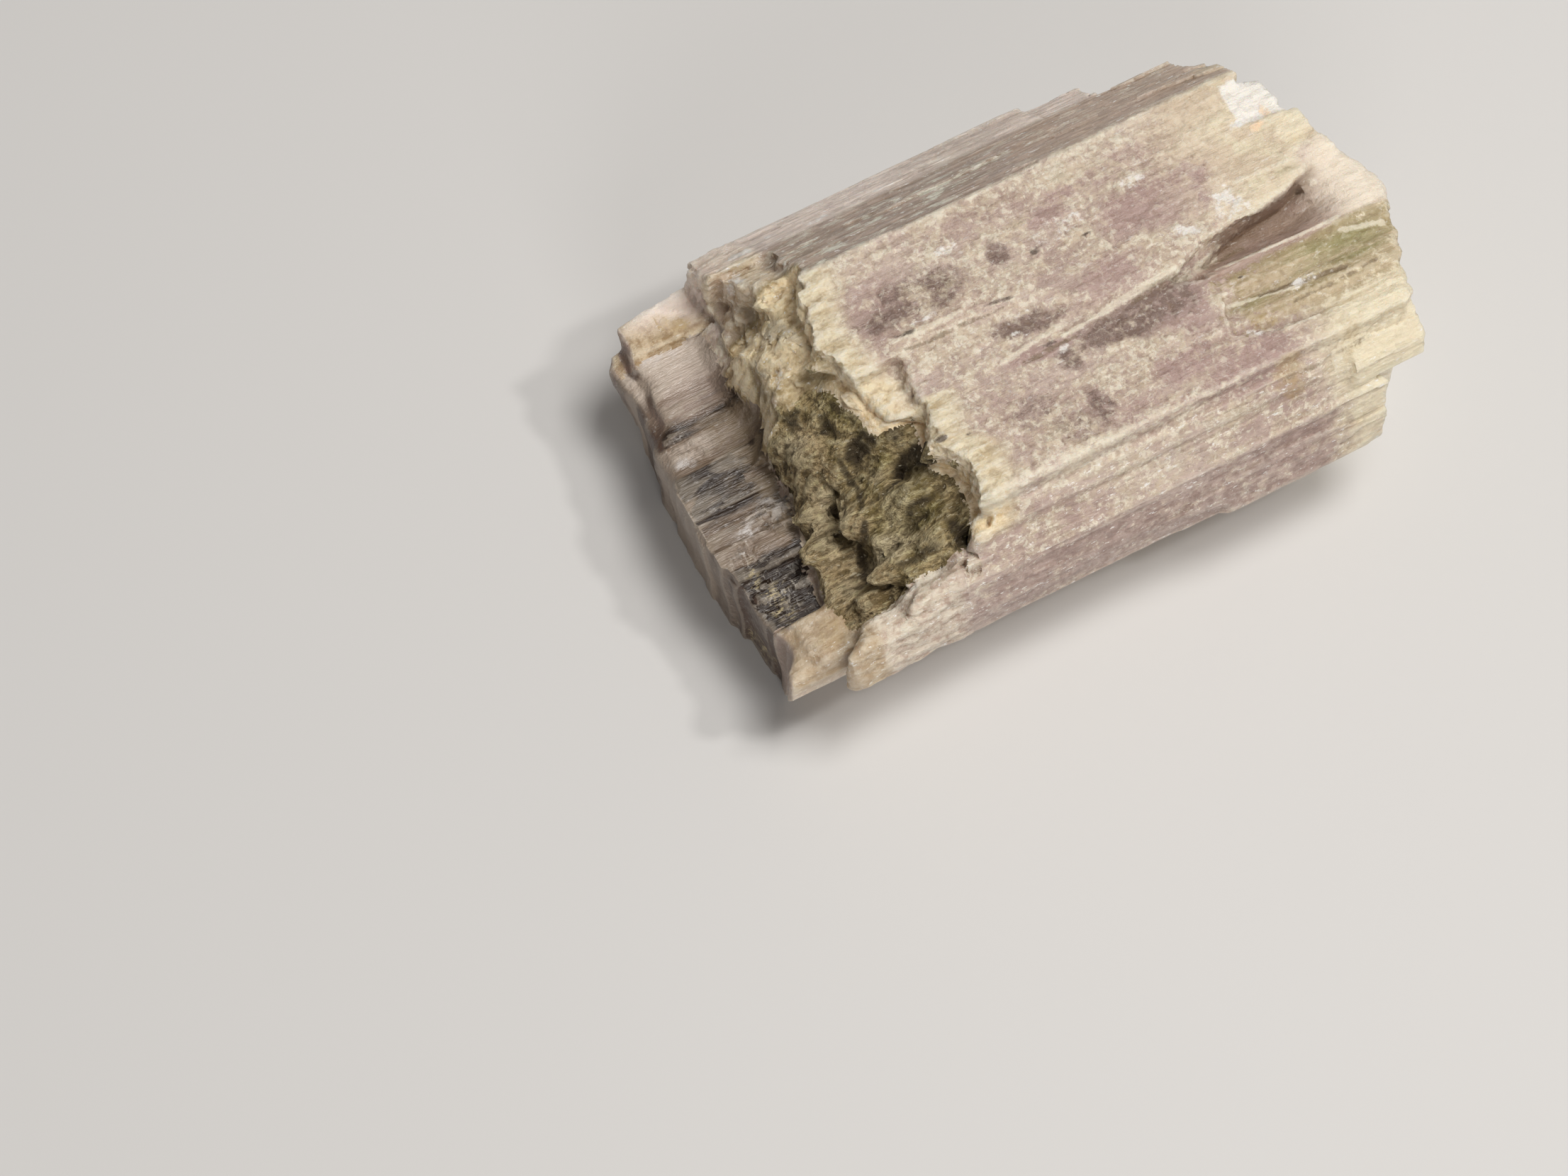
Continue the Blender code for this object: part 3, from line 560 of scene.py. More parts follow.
outward = carve.plus(
    carve.times(crusted, crust, given["Crust"]),
    carve.times(crusted, crust, crust_grit, given["Crust"], 1.8),
    carve.times(crusted, lines, given["Grain"]),
    carve.times(fibrous, carve.plus(fibres, crumbs), given["Fibres"]),
    carve.times(region("back"), carve.plus(carve.times(strip_level, 0.6), fine_lines), given["Back grain"]),
    carve.times(terrace_top, carve.plus(strip_level, carve.times(strip_tilt, 0.6)), given["Terrace steps"]),
    carve.times(hackled, carve.plus(hackle_level, carve.times(hackle_tilt, 2.0)), given["Hackle"]),
    carve.times(region("front"), carve.plus(ripple, carve.times(strip_level, 0.6)), given["Ripples"]),
    carve.times(region("front"), carve.plus(lines, fine_lines), given["Grain"]),
    carve.times(
        carve.plus(region("front ends"), region("bench")), carve.plus(slope_roll, crumbs), given["Swells"],
    ),
    carve.times(loose, slope_roll, given["Lumps"]),
    carve.times(loose, carve.plus(block_level, carve.times(block_tilt, 1.6)), given["Blocks"]),
    carve.times(loose, crumbs, given["Crumbs"]),
    carve.times(region("end face"), ripple, given["Ripples"]),
    carve.times(region("right"), carve.plus(lines, strip_level), given["Grain"]),
    carve.times(region("pale line"), given["Ridges"]),
    carve.times(region("dark line"), given["Ridges"], -0.8),
)
lengthwise = carve.plus(
    carve.times(region("broken"), splinters, given["Splinters"]),
    carve.times(region("broken left"), flutes, given["Flutes"]),
)
off_the_table = carve.without(region("rest"))
outward = carve.times(outward, off_the_table, MM)
lengthwise = carve.times(lengthwise, off_the_table, MM)
facing = carve.add("GeometryNodeInputNormal").outputs[0]
push = carve.add("ShaderNodeVectorMath", {0: facing, 3: outward}, operation="SCALE").outputs[0]
lengthwise_push = carve.add("ShaderNodeCombineXYZ", {0: lengthwise}).outputs[0]
offset = carve.shift(push, lengthwise_push)
shaped = carve.add("GeometryNodeSetPosition", {"Geometry": given["Geometry"], "Offset": offset})
realized = carve.add("GeometryNodeRealizeInstances", {"Geometry": shaped.outputs[0]})
carve.add("NodeGroupOutput", {"Geometry": realized.outputs[0]})

growth = crystal.modifiers.new("growth and breakage", "NODES")
growth.node_group = relief
take_shape(crystal)

crystal.data.calc_loop_triangles()
thin_out = crystal.modifiers.new("fewer faces where flat", "DECIMATE")
thin_out.ratio = min(1.0, MOST_TRIANGLES / len(crystal.data.loop_triangles))
take_shape(crystal)
crystal.data.validate()
store_regions(crystal.data, with_hollows=True)

# The crystal's colour and finish. Aragonite is a clear to cloudy stone: here it is lilac inside, with
# a pale cream crust on the plateau, olive staining down the stepped slope with umber that is partly stain
# and partly painted shade, a glassy brown terrace, and cream, straw and green slabs at the splintered end.
# Shade in the cracks and under the lip, light at the cliff's foot, highlights on the crests, and glints are
# painted into the colours.
LILAC = (0.45, 0.325, 0.28)
PALE_LILAC = (0.56, 0.44, 0.38)
ROSE = (0.43, 0.295, 0.265)
SMOKY = (0.19, 0.125, 0.10)
SMOKY_HAZE = (0.27, 0.19, 0.165)
CREAM = (0.66, 0.55, 0.40)
GREEN_CREAM = (0.56, 0.50, 0.36)
PINK_CREAM = (0.66, 0.52, 0.45)
CRUST_SHADE = (0.28, 0.19, 0.14)
BONE = (0.80, 0.73, 0.60)
IVORY = (0.79, 0.69, 0.49)
HONEY = (0.45, 0.31, 0.13)
STRAW = (0.82, 0.73, 0.53)
DARK_STRAW = (0.64, 0.51, 0.31)
GREEN = (0.30, 0.27, 0.115)
LOBE = (0.86, 0.76, 0.63)
LIP_SHADE = (0.20, 0.125, 0.085)
ROSY_TAN = (0.62, 0.46, 0.36)
SILVER_GLINT = (0.80, 0.78, 0.66)
RIM_PINK = (0.90, 0.77, 0.69)
FOOT_TAN = (0.74, 0.60, 0.46)
RAMP_PINK = (0.56, 0.40, 0.32)
CREVICE_SHADE = (0.26, 0.17, 0.09)
CREST_HIGHLIGHT = (0.86, 0.80, 0.68)
CHALK = (0.92, 0.88, 0.82)
GLINT_WHITE = (0.90, 0.87, 0.83)
ORANGE = (1.0, 0.72, 0.48)
PALE_LINE = (0.84, 0.77, 0.62)
DARK_LINE = (0.20, 0.14, 0.08)
FLECK = (0.07, 0.045, 0.03)
OLIVE = (0.155, 0.112, 0.035)
KHAKI = (0.43, 0.33, 0.17)
MOSS = (0.21, 0.175, 0.045)
UMBER_SHADE = (0.028, 0.017, 0.006)
STAIN_EDGE = (0.36, 0.27, 0.13)
LIGHT_LUMP = (0.66, 0.55, 0.36)
DARK_THREAD = (0.09, 0.06, 0.018)
LIGHT_THREAD = (0.62, 0.54, 0.30)
SLOPE_CREST_HIGHLIGHT = (0.60, 0.52, 0.33)
SLOPE_GLINT = (0.74, 0.67, 0.50)
DARK_GLASS_AND_GLINT = (0.030, 0.014, 0.006)
BROWN_GLASS = (0.33, 0.235, 0.165)
ROSE_GLASS = (0.80, 0.67, 0.56)
TAN_VEIL = (0.36, 0.26, 0.16)
PINK_GLASS = (0.62, 0.48, 0.41)
GLASS_CREST_HIGHLIGHT = (0.70, 0.60, 0.48)
SHARD_GLINT = (0.80, 0.72, 0.62)
SILVER_FLASH = (0.88, 0.82, 0.78)
GOLD_FLASH = (0.80, 0.66, 0.38)
# Places with an uneven colour: their dark tone and their light one
TONES = {
    # The cliff foot's tones are brightened: partly the stone's honey and partly painted light
    "cliff foot": ((0.68, 0.46, 0.21), (0.93, 0.74, 0.46)),
    "tan end": ((0.68, 0.55, 0.41), (0.85, 0.74, 0.57)),
    "olive patch": ((0.36, 0.28, 0.14), (0.52, 0.41, 0.26)),
    "yellow": ((0.72, 0.60, 0.39), (0.92, 0.83, 0.63)),
    "hollow": ((0.42, 0.30, 0.25), (0.52, 0.39, 0.32)),
    "back": ((0.38, 0.285, 0.215), (0.50, 0.39, 0.33)),
    "bench": ((0.60, 0.46, 0.29), (0.80, 0.69, 0.52)),
    "upper slope": ((0.50, 0.33, 0.14), (0.90, 0.74, 0.48)),
    "low ledge": ((0.25, 0.17, 0.08), (0.48, 0.36, 0.21)),
    "front low": ((0.30, 0.20, 0.17), (0.50, 0.39, 0.34)),
    "front ends": ((0.54, 0.40, 0.31), (0.78, 0.69, 0.56)),
    "shelf": ((0.46, 0.33, 0.19), (0.66, 0.55, 0.40)),
    "corner": ((0.32, 0.20, 0.08), (0.60, 0.47, 0.30)),
    "end face": ((0.14, 0.075, 0.05), (0.50, 0.38, 0.31)),
    "glassy end face": ((0.13, 0.07, 0.045), (0.54, 0.43, 0.34)),
}


def shader_group(name, inputs, outputs):
    tree = bpy.data.node_groups.new(name, "ShaderNodeTree")
    for label, kind in inputs.items():
        tree.interface.new_socket(label, in_out="INPUT", socket_type=kind)
    for label in outputs:
        tree.interface.new_socket(label, in_out="OUTPUT", socket_type="NodeSocketFloat")
    return tree


lines_and_glints_group = shader_group("growth lines", {"Place": "NodeSocketVector"}, ["Lines", "Fine lines", "Glints"])
paint = Graph(lines_and_glints_group)
inside = paint.add("NodeGroupInput").outputs
lines = grain_lines(paint, inside["Place"], 0.55)
fine = grain_lines(paint, paint.shift(inside["Place"], (3.0, 7.0, 1.0)), 0.22)
# Glints: painted highlights, small white specks that stand in for the stone's sparkle
glint_field = paint.noise(paint.stretch(inside["Place"], (0.45, 1.0, 1.0)), 0.2, detail=3.0, rough=0.75)
glints = paint.ramp(glint_field, 0.61, 0.68)
paint.add("NodeGroupOutput", {"Lines": lines, "Fine lines": fine, "Glints": glints})

crust_inputs = {"Place": "NodeSocketVector", "Cover": "NodeSocketFloat"}
crust_group = shader_group("pale crust", crust_inputs, ["Crust", "Grit"])
paint = Graph(crust_group)
inside = paint.add("NodeGroupInput").outputs
cover = crust_cover(paint, inside["Place"], inside["Cover"])
grit = paint.noise(inside["Place"], 0.2, detail=5.0, rough=0.75)
paint.add("NodeGroupOutput", {"Crust": cover, "Grit": grit})


def start_material(name):
    """A new material: it, its graph, its shader, the place in millimetres, and its growth-line noise and
    painted glints there.
    """
    material = bpy.data.materials.new(name)
    material.use_nodes = True
    graph = Graph(material.node_tree)
    place = graph.add("ShaderNodeTexCoord").outputs["Object"]
    place = graph.stretch(place, (1000.0, 1000.0, 1000.0))
    grain = graph.add("ShaderNodeGroup", node_tree=lines_and_glints_group)
    graph.tree.links.new(place, grain.inputs["Place"])
    return material, graph, material.node_tree.nodes["Principled BSDF"], place, grain.outputs


cloudy, paint, shader, place, grain = start_material("cloudy aragonite")


def held(name):
    """How far the surface belongs to the named region."""
    return paint.add("ShaderNodeAttribute", attribute_name=name).outputs["Fac"]


def toned(name, amount):
    """The named place's colour, from its dark tone to its light one."""
    return paint.mix(amount, *TONES[name])


def drawn_out(stretched, size, **kind):
    """Noise drawn out along each axis whose number is less than 1."""
    return paint.noise(paint.stretch(place, stretched), size, **kind)


def uneven(amount, spread):
    """The same mark with its edge broken up by the stone's own grain."""
    noisy = paint.plus(amount, paint.times(paint.about_zero(rough_edge), 5.0 * spread))
    return paint.times(paint.ramp(noisy, 0.3, 0.9), paint.ramp(amount, 0.02, 0.2))


def shade_and_highlight_places():
    """Where shade and highlight are painted: the cracks, the crests and the deep places, each from 0 to 1."""
    hollows = paint.ramp(held("cavity"), 0.004, 0.035)
    crests = paint.ramp(held("cavity"), -0.004, -0.035)
    deep = paint.ramp(held("wide cavity"), 0.03, 0.28)
    return hollows, crests, deep


def finish_surface(colour, height, strength, depth):
    """Gives the shader its colour, and fine relief of the given depth in millimetres."""
    paint.tree.links.new(colour, shader.inputs["Base Color"])
    bump = paint.add("ShaderNodeBump", {"Height": height, "Strength": strength, "Distance": depth * MM})
    paint.tree.links.new(bump.outputs[0], shader.inputs["Normal"])


bared = paint.plus(
    paint.times(held("smoky"), -0.13),
    paint.times(held("lilac"), -0.13),
    paint.times(held("front low"), -0.08),
)
crust_lean = paint.plus(bared, paint.times(held("ivory"), 0.2), 0.02)
crust = paint.add("ShaderNodeGroup", node_tree=crust_group)
paint.tree.links.new(place, crust.inputs["Place"])
paint.tree.links.new(crust_lean, crust.inputs["Cover"])
crust, grit = crust.outputs["Crust"], crust.outputs["Grit"]
clouds = drawn_out((0.5, 1.0, 1.0), 3.2, detail=4.0)
mottle = paint.noise(place, 0.45, detail=5.0, rough=0.65)
tints = paint.noise(place, 1.1, detail=4.0, rough=0.6)
rough_edge = paint.plus(paint.times(mottle, 0.7), paint.times(grit, 0.3))
hollows, crests, deep = shade_and_highlight_places()

# The plateau is lilac, smoky in places, under a cream crust with small bone-white grains
colour = paint.mix(paint.ramp(clouds, 0.35, 0.65), LILAC, PALE_LILAC)
colour = paint.mix(paint.times(paint.ramp(held("lilac"), 0.0, 0.9), 0.75), colour, ROSE)
colour = paint.mix(paint.times(paint.ramp(held("smoky"), 0.0, 0.6), 0.55), colour, SMOKY_HAZE)
colour = paint.mix(paint.times(uneven(held("smoky"), 0.9), 0.85), colour, SMOKY)
pale = paint.mix(paint.times(paint.ramp(tints, 0.5, 0.68), 0.6), CREAM, GREEN_CREAM)
pale = paint.mix(paint.times(paint.ramp(tints, 0.48, 0.32), 0.7), pale, PINK_CREAM)
colour = paint.mix(paint.times(crust, 0.75), colour, pale)
colour = paint.mix(paint.times(paint.ramp(grit, 0.47, 0.34), 0.4), colour, CRUST_SHADE)
grains = paint.noise(place, 0.32, detail=4.0, rough=0.7, twist=0.6)
grains = paint.ramp(paint.plus(grains, paint.times(crust, 0.10)), 0.55, 0.68)
clear = paint.math("MAXIMUM", held("smoky"), held("lilac"))
grains = paint.times(grains, paint.math("SUBTRACT", 0.75, paint.times(clear, 0.5)))
colour = paint.mix(grains, colour, BONE)

# The broken edges of the plateau are ivory, with honey in the cracks, honey as painted shade in the deep
# places, and crests made paler as painted highlight
gaps = drawn_out((0.2, 1.0, 1.0), 0.5, detail=4.0, rough=0.6)
ivory = paint.mix(paint.times(paint.ramp(gaps, 0.5, 0.36), 0.55), IVORY, HONEY)
ivory = paint.mix(paint.times(paint.ramp(mottle, 0.46, 0.34), 0.4), ivory, HONEY)
# Painted shade: honey in the deep places
ivory = paint.mix(paint.times(deep, 0.6), ivory, HONEY)
# At the cliff's foot, which stands in shade, the honey tone is brightened: partly the stone's honey colour
# and partly painted light standing in for light shining through the stone
cliff_foot = toned("cliff foot", paint.ramp(mottle, 0.35, 0.6))
ivory = paint.mix(paint.times(held("cliff foot"), 0.9), ivory, cliff_foot)
# Painted highlight: the crests paler
ivory = paint.mix(paint.times(crests, 0.4), ivory, BONE)
colour = paint.mix(paint.times(held("ivory"), 0.9), colour, ivory)

# The splintered end is straw, tan and green, with a lilac hollow and a pale lobe
straw = paint.mix(paint.ramp(grain["Lines"], 0.30, 0.46), DARK_STRAW, STRAW)
straw = paint.mix(paint.ramp(clouds, 0.4, 0.6), straw, STRAW)
straw_amount = paint.plus(held("right"), paint.times(clouds, 0.6), paint.times(held("lilac"), -0.3))
colour = paint.mix(paint.times(paint.ramp(straw_amount, 0.75, 1.15), 0.85), colour, straw)
tan_end = toned("tan end", paint.ramp(clouds, 0.38, 0.62))
colour = paint.mix(paint.times(held("tan end"), paint.ramp(tints, 0.34, 0.5), 0.8), colour, tan_end)
olive_patch = toned("olive patch", paint.ramp(grain["Lines"], 0.42, 0.58))
colour = paint.mix(paint.times(uneven(held("olive patch"), 0.9), 0.85), colour, olive_patch)
green_lines = paint.ramp(grain["Lines"], 0.62, 0.42)
colour = paint.mix(paint.times(held("green"), green_lines, 0.85), colour, GREEN)
hollow = toned("hollow", paint.ramp(clouds, 0.3, 0.7))
colour = paint.mix(paint.times(held("hollow"), 0.9), colour, hollow)
# Painted shadow: the dark band under the overhanging lip
colour = paint.mix(paint.times(held("under lip"), 0.9), colour, LIP_SHADE)
colour = paint.mix(paint.times(held("lobe"), 0.96), colour, LOBE)

# The slanted back face is grey-brown and lined, with silvery painted glints, and has a pink rim
back = toned("back", paint.ramp(grain["Fine lines"], 0.38, 0.62))
back_glints = paint.ramp(drawn_out((0.35, 1.0, 1.0), 0.5, detail=6.0, rough=0.75), 0.50, 0.60)
back_glint_places = paint.ramp(drawn_out((0.3, 1.0, 1.0), 4.0, detail=2.0), 0.42, 0.6)
back = paint.mix(paint.times(back_glints, paint.plus(back_glint_places, 0.25), 0.8), back, SILVER_GLINT)
back = paint.mix(paint.times(held("back right"), 0.5), back, ROSY_TAN)
colour = paint.mix(paint.times(held("back"), 0.92), colour, back)
bench = toned("bench", paint.ramp(mottle, 0.36, 0.56))
colour = paint.mix(paint.times(held("bench"), 0.85), colour, bench)
two_grains = paint.plus(paint.times(mottle, 0.6), paint.times(tints, 0.4))
upper = toned("upper slope", paint.ramp(two_grains, 0.32, 0.54))
near_stain = paint.ramp(paint.plus(held("upper slope"), paint.times(mottle, 0.5)), 1.15, 0.7)
upper = paint.mix(near_stain, upper, STAIN_EDGE)
colour = paint.mix(paint.ramp(held("upper slope"), 0.0, 0.6), colour, upper)
rim_amount = paint.plus(0.5, paint.times(paint.ramp(clouds, 0.3, 0.6), 0.4))
colour = paint.mix(paint.times(held("back rim"), rim_amount), colour, RIM_PINK)

# The front faces are a smoother lilac with cream ends, and the left end is brown to grey-lilac
lined = paint.plus(paint.times(grain["Lines"], 0.5), paint.times(mottle, 0.5))
front = toned("front low", paint.ramp(lined, 0.40, 0.60))
colour = paint.mix(paint.times(held("front low"), paint.ramp(mottle, 0.65, 0.4), 0.85), colour, front)
colour = paint.mix(paint.times(held("front foot"), 0.5), colour, FOOT_TAN)
front_ends = toned("front ends", paint.ramp(mottle, 0.36, 0.56))
colour = paint.mix(paint.times(held("front ends"), 0.75), colour, front_ends)
shelf = toned("shelf", paint.ramp(mottle, 0.38, 0.75))
colour = paint.mix(paint.times(held("shelf"), 0.85), colour, shelf)
corner = toned("corner", paint.ramp(mottle, 0.38, 0.6))
colour = paint.mix(paint.times(held("corner"), 0.9), colour, corner)
end_tone = paint.plus(held("end tone"), paint.times(paint.about_zero(mottle), 0.5))
colour = paint.mix(paint.times(held("end face"), 0.9), colour, toned("end face", end_tone))
colour = paint.mix(paint.times(held("pink ramp"), 0.35), colour, RAMP_PINK)
colour = paint.mix(paint.times(uneven(held("amber"), 0.4), 0.65), colour, HONEY)

# Painted shade darkens the cracks everywhere and painted highlight makes the crests paler, then come
# the thin lines, the painted glint spots and the specks
colour = paint.mix(paint.times(hollows, 0.3), colour, CREVICE_SHADE)
colour = paint.mix(paint.times(crests, 0.22), colour, CREST_HIGHLIGHT)
yellow = toned("yellow", paint.ramp(grain["Lines"], 0.36, 0.5))
colour = paint.mix(paint.times(held("yellow"), 0.85), colour, yellow)
for kind, spread, strength, tone in (
    ("pale line", 0.8, 0.6, PALE_LINE),
    ("dark line", 0.6, 0.7, DARK_LINE),
    ("chalk", 0.4, 0.9, CHALK),
    ("orange", 0.5, 0.8, ORANGE),
    ("painted glint", 0.9, 0.8, GLINT_WHITE),
    ("fleck", 0.4, 0.85, FLECK),
):
    colour = paint.mix(paint.times(uneven(held(kind), spread), strength), colour, tone)
# Painted glints: white specks all over, more of them on the front, bench, upper slope and back
sparkling = paint.plus(held("front"), held("bench"), held("upper slope"), held("back"))
glint_amount = paint.plus(0.35, paint.times(paint.math("MINIMUM", sparkling, 1.0), 0.5))
colour = paint.mix(paint.times(grain["Glints"], glint_amount), colour, GLINT_WHITE)

rough = paint.plus(0.26, paint.times(crust, held("plateau"), 0.25))
rough = paint.math("SUBTRACT", rough, paint.times(grain["Glints"], 0.2))
paint.tree.links.new(rough, shader.inputs["Roughness"])
facets = paint.blocks(paint.stretch(place, (0.4, 1.0, 1.0)), 0.2)[1]
height = paint.plus(
    paint.times(grain["Fine lines"], 0.6),
    paint.times(grit, 0.6),
    paint.times(mottle, 0.5),
    paint.times(facets, 4.0),
)
finish_surface(colour, height, strength=0.9, depth=0.14)
shader.inputs["Subsurface Weight"].default_value = 0.3
shader.inputs["Subsurface Radius"].default_value = (1.0, 0.7, 0.45)
shader.inputs["Subsurface Scale"].default_value = 1.0 * MM
shader.inputs["IOR"].default_value = 1.6

# The stepped slope is stained and dull: olive over khaki lumps. Umber in the pits is partly stain and
# partly painted shade; in the cracks, the deep places and the foot below the cliff it is painted shade.
stained, paint, shader, place, grain = start_material("stained aragonite")
mottle = paint.noise(place, 0.45, detail=5.0, rough=0.65)
stain = paint.noise(place, 0.9, detail=6.0, rough=0.65)
threads = drawn_out((0.25, 1.0, 1.0), 0.22, detail=4.0, rough=0.7)
hollows, crests, deep = shade_and_highlight_places()
colour = paint.mix(paint.ramp(stain, 0.36, 0.6), OLIVE, KHAKI)
colour = paint.mix(paint.times(held("moss"), 0.6), colour, MOSS)
low_ledge = toned("low ledge", paint.ramp(stain, 0.38, 0.58))
colour = paint.mix(paint.times(held("low ledge"), 0.7), colour, low_ledge)
colour = paint.mix(paint.times(held("light lump"), 0.8), colour, LIGHT_LUMP)
near_upper = paint.ramp(paint.plus(held("upper slope"), paint.times(stain, 0.5)), 0.3, 0.75)
colour = paint.mix(near_upper, colour, STAIN_EDGE)
colour = paint.mix(paint.times(paint.ramp(threads, 0.53, 0.40), 0.65), colour, DARK_THREAD)
colour = paint.mix(paint.times(paint.ramp(threads, 0.54, 0.64), 0.55), colour, LIGHT_THREAD)
# Painted highlight on the crests, painted shade in the cracks
colour = paint.mix(paint.times(crests, 0.35), colour, SLOPE_CREST_HIGHLIGHT)
colour = paint.mix(paint.times(hollows, 0.5), colour, UMBER_SHADE)
# The pits: umber partly as stain and partly as painted shade
ragged = paint.plus(
    held("pit"),
    paint.times(paint.about_zero(stain), 2.4),
    paint.times(paint.about_zero(threads), 1.6),
)
pits = paint.times(paint.ramp(ragged, 0.15, 1.05), paint.ramp(held("pit"), 0.02, 0.4))
colour = paint.mix(paint.times(pits, 0.93), colour, UMBER_SHADE)
# Painted shadow of the cliff on its foot, and painted shade in the deep places
colour = paint.mix(paint.times(held("foot"), 0.25), colour, UMBER_SHADE)
colour = paint.mix(paint.times(deep, 0.6), colour, UMBER_SHADE)
# Painted glints
colour = paint.mix(paint.times(grain["Glints"], 0.45), colour, SLOPE_GLINT)
facets = paint.blocks(paint.stretch(place, (0.5, 1.0, 1.0)), 0.18)[1]
height = paint.plus(paint.times(threads, 2.0), paint.times(mottle, 0.8), paint.times(facets, 2.0))
finish_surface(colour, height, strength=1.0, depth=0.18)
shader.inputs["Roughness"].default_value = 0.55
shader.inputs["IOR"].default_value = 1.4

# The terrace is glassy, in strips from sooty brown to rose, with hackles. Its crests are paler as painted
# highlight, and its glints are painted: white specks, dark and pale ones among the hackles, silver
# flashes, and gold ones along the left edge
glassy, paint, shader, place, grain = start_material("glassy aragonite")
bands = drawn_out((0.05, 1.0, 0.3), 1.3, detail=3.0, rough=0.55)
patches = drawn_out((0.5, 1.0, 1.0), 0.7, detail=5.0, rough=0.65)
flashes = drawn_out((0.5, 1.0, 1.0), 0.22, detail=4.0, rough=0.75)
glinting_shards = drawn_out((1.6, 0.6, 1.0), 0.3, detail=4.0, rough=0.7, twist=0.8)
hair_lines = drawn_out((0.12, 1.0, 1.0), 0.12, detail=3.0, rough=0.6)
tone = paint.plus(
    held("tone"),
    paint.times(paint.about_zero(patches), 0.6),
    paint.times(paint.about_zero(bands), 0.3),
    paint.times(paint.about_zero(grain["Fine lines"]), 0.6),
)
glass = paint.mix(paint.ramp(tone, 0.1, 0.45), DARK_GLASS_AND_GLINT, BROWN_GLASS)
glass = paint.mix(paint.ramp(tone, 0.45, 0.9), glass, ROSE_GLASS)
veil = paint.times(held("tan veil"), paint.ramp(patches, 0.35, 0.55), 0.85)
glass = paint.mix(veil, glass, TAN_VEIL)
end_tone = paint.plus(held("end tone"), paint.times(paint.about_zero(patches), 0.5))
end_glass = toned("glassy end face", paint.ramp(end_tone, 0.0, 1.0))
glass = paint.mix(paint.times(held("end face"), 0.95), glass, end_glass)
glass = paint.mix(paint.times(held("pink ramp"), 0.7), glass, PINK_GLASS)
# Painted highlight: the crests paler
glass = paint.mix(paint.times(paint.ramp(held("cavity"), -0.006, -0.03), 0.35), glass, GLASS_CREST_HIGHLIGHT)
# Painted glints: white specks, more of them among the hackles
sparkle = paint.times(grain["Glints"], paint.plus(0.3, paint.times(held("hackle"), 0.4)))
glass = paint.mix(sparkle, glass, GLINT_WHITE)
# Painted glints among the hackles: dark ones, then pale ones
glass = paint.mix(paint.times(held("hackle"), paint.ramp(glinting_shards, 0.50, 0.42), 0.5), glass, DARK_GLASS_AND_GLINT)
glass = paint.mix(paint.times(held("hackle"), paint.ramp(glinting_shards, 0.56, 0.62), 0.6), glass, SHARD_GLINT)
# Painted glints: silver flashes, and gold ones along the left edge
glass = paint.mix(paint.times(held("silver glint"), paint.ramp(flashes, 0.42, 0.56)), glass, SILVER_FLASH)
glass = paint.mix(paint.times(held("gold glint"), paint.ramp(flashes, 0.50, 0.58)), glass, GOLD_FLASH)
banded = paint.times(paint.ramp(bands, 0.4, 0.6), 0.15)
rough = paint.plus(0.28, banded, paint.times(held("hackle"), 0.1))
paint.tree.links.new(rough, shader.inputs["Roughness"])
facets = paint.blocks(paint.stretch(place, (0.3, 1.0, 1.0)), 0.28)[1]
facets = paint.times(facets, paint.plus(0.8, paint.times(held("hackle"), 8.0)))
height = paint.plus(paint.times(hair_lines, 1.2), paint.times(patches, 0.2), facets)
finish_surface(glass, height, strength=0.6, depth=0.15)
shader.inputs["Transmission Weight"].default_value = 0.4
shader.inputs["Specular IOR Level"].default_value = 0.38
shader.inputs["IOR"].default_value = 1.6

# Each face takes the finish of the region it lies in: cloudy, glassy on the terrace, stained on the slope
crystal.data.materials.clear()
for finish in (cloudy, glassy, stained):
    crystal.data.materials.append(finish)
corners = np.empty(len(crystal.data.loops), np.int32)
crystal.data.loops.foreach_get("vertex_index", corners)
starts = np.empty(len(crystal.data.polygons), np.int32)
crystal.data.polygons.foreach_get("loop_start", starts)
first_corner = corners[starts]
finish_index = np.where(read_region(crystal.data, "terrace")[first_corner] > 0.5, 1, 0)
finish_index = np.where(read_region(crystal.data, "stain")[first_corner] > 0.5, 2, finish_index)
crystal.data.polygons.foreach_set("material_index", finish_index.astype(np.int32))
crystal.data.shade_smooth()
crystal.data.set_sharp_from_angle(angle=math.radians(42))
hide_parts("aragonite_crystal")
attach(crystal, "root")

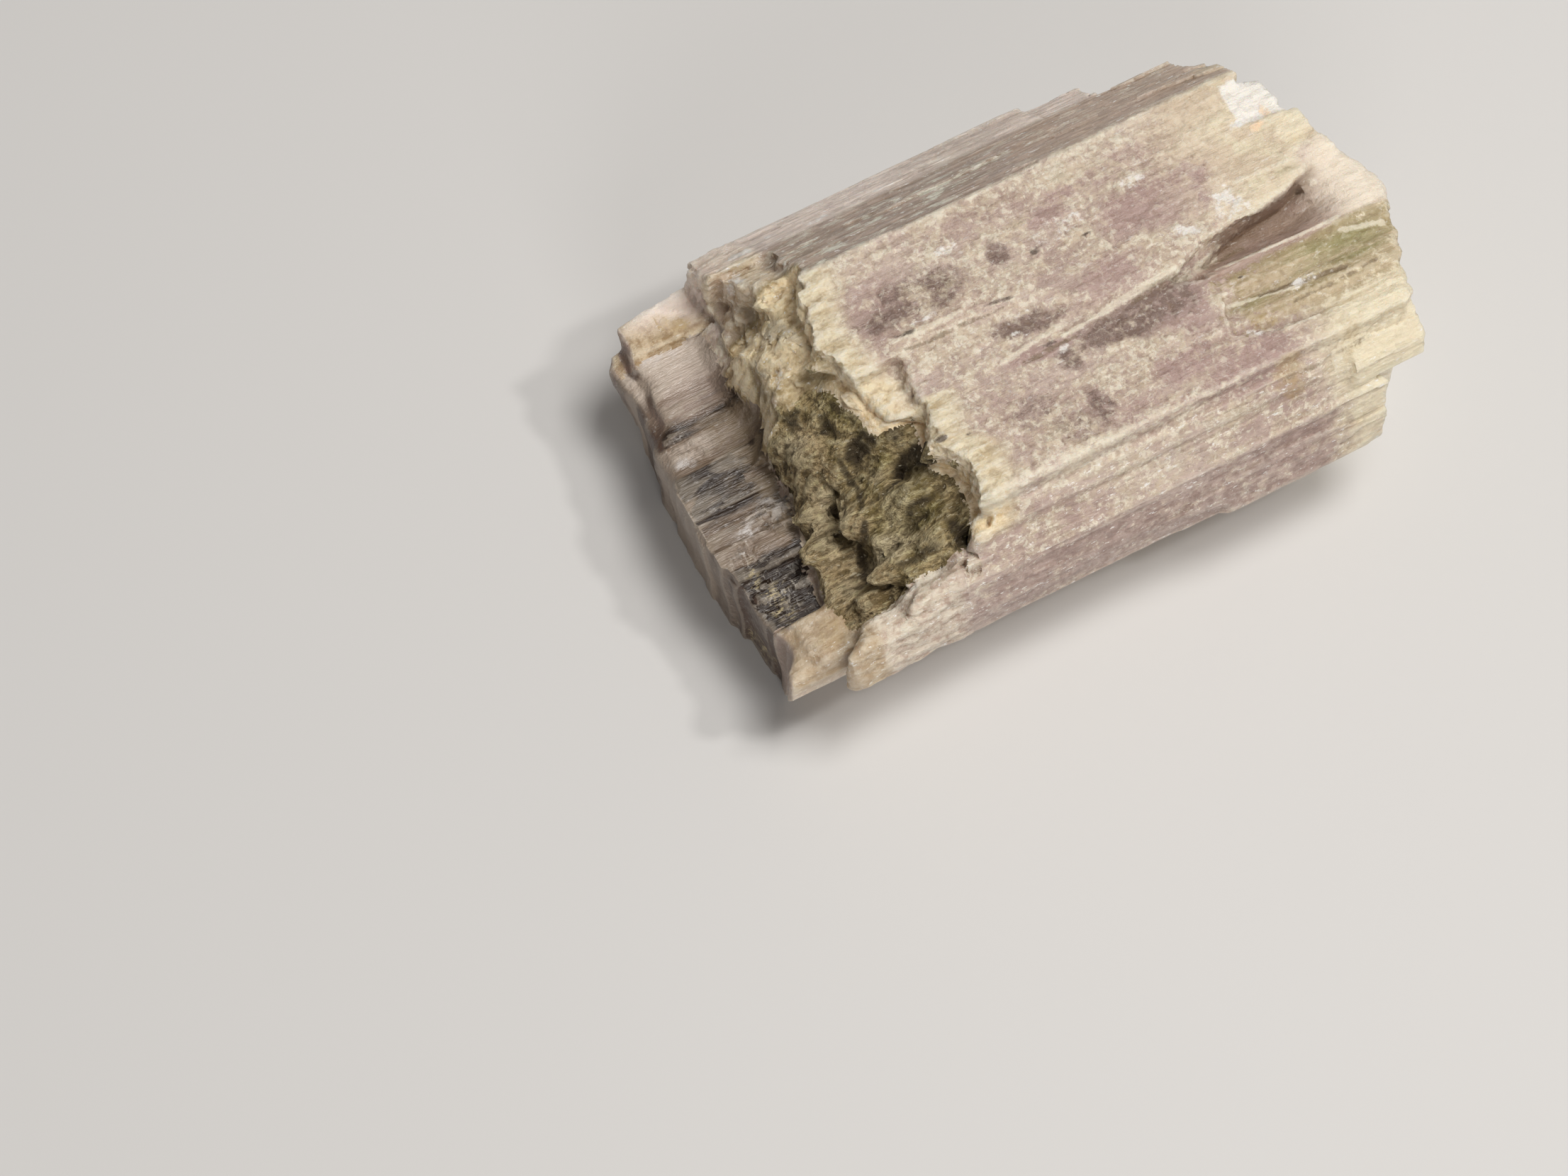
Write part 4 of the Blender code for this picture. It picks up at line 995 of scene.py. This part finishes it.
# The table: a plain pale surface that the crystal lies on. It is one flat matt sheet, wide enough to
# fill the picture, and nothing fixes the crystal to it.
TABLE_HALF = 0.6
TABLE_GREY = (0.62, 0.61, 0.60, 1.0)
floor_mesh = bpy.data.meshes.new("floor")
slab = bmesh.new()
bmesh.ops.create_grid(slab, x_segments=1, y_segments=1, size=TABLE_HALF)
slab.to_mesh(floor_mesh)
slab.free()
floor = bpy.data.objects.new("floor", floor_mesh)
bpy.context.scene.collection.objects.link(floor)
floor_finish = bpy.data.materials.new("pale table")
floor_finish.use_nodes = True
floor_shader = floor_finish.node_tree.nodes["Principled BSDF"]
floor_shader.inputs["Base Color"].default_value = TABLE_GREY
floor_shader.inputs["Roughness"].default_value = 0.7
floor.data.materials.append(floor_finish)

# The light: a large soft lamp over the far right, a small one beside it that brings out the sparkle,
# and a weaker one from the front, in a dim warm room.
ROOM_COLOUR = (1.0, 0.96, 0.92, 1.0)
world = bpy.data.worlds.new("room")
world.use_nodes = True
room_light = world.node_tree.nodes["Background"]
room_light.inputs["Color"].default_value = ROOM_COLOUR
room_light.inputs["Strength"].default_value = 0.14
bpy.context.scene.world = world


def add_lamp(name, place, size, power, colour):
    """A square lamp that points at the crystal."""
    light = bpy.data.lights.new(name, "AREA")
    light.shape = "SQUARE"
    light.size = size
    light.energy = power
    light.color = colour
    lamp = bpy.data.objects.new(name, light)
    bpy.context.scene.collection.objects.link(lamp)
    lamp.location = place
    toward = -lamp.location
    lamp.rotation_euler = toward.to_track_quat("-Z", "Y").to_euler()


add_lamp("main lamp", (0.07, -0.05, 0.34), size=0.12, power=0.85, colour=(1.0, 0.98, 0.95))
add_lamp("small lamp", (0.16, -0.12, 0.30), size=0.03, power=0.30, colour=(1.0, 0.98, 0.95))
add_lamp("front lamp", (-0.10, -0.30, 0.14), size=0.16, power=0.32, colour=(1.0, 0.98, 0.96))

# The camera: a long lens that looks down on the crystal. Its place and its angles are those that give
# the crystal the outline that it has in the photograph.
LENS = 103.97
AZIMUTH = -28.3
ELEVATION = 64.7
CAMERA_PLACE = (-50.767 * MM, -73.425 * MM, 171.776 * MM)
eye = bpy.data.cameras.new("camera")
eye.lens = LENS
eye.sensor_width = 36.0
eye.clip_start = 0.005
camera = bpy.data.objects.new("camera", eye)
bpy.context.scene.collection.objects.link(camera)
camera.location = CAMERA_PLACE
camera.rotation_euler = (math.radians(90.0 - ELEVATION), 0.0, math.radians(AZIMUTH))
bpy.context.scene.camera = camera
bpy.context.scene.view_settings.view_transform = "Standard"
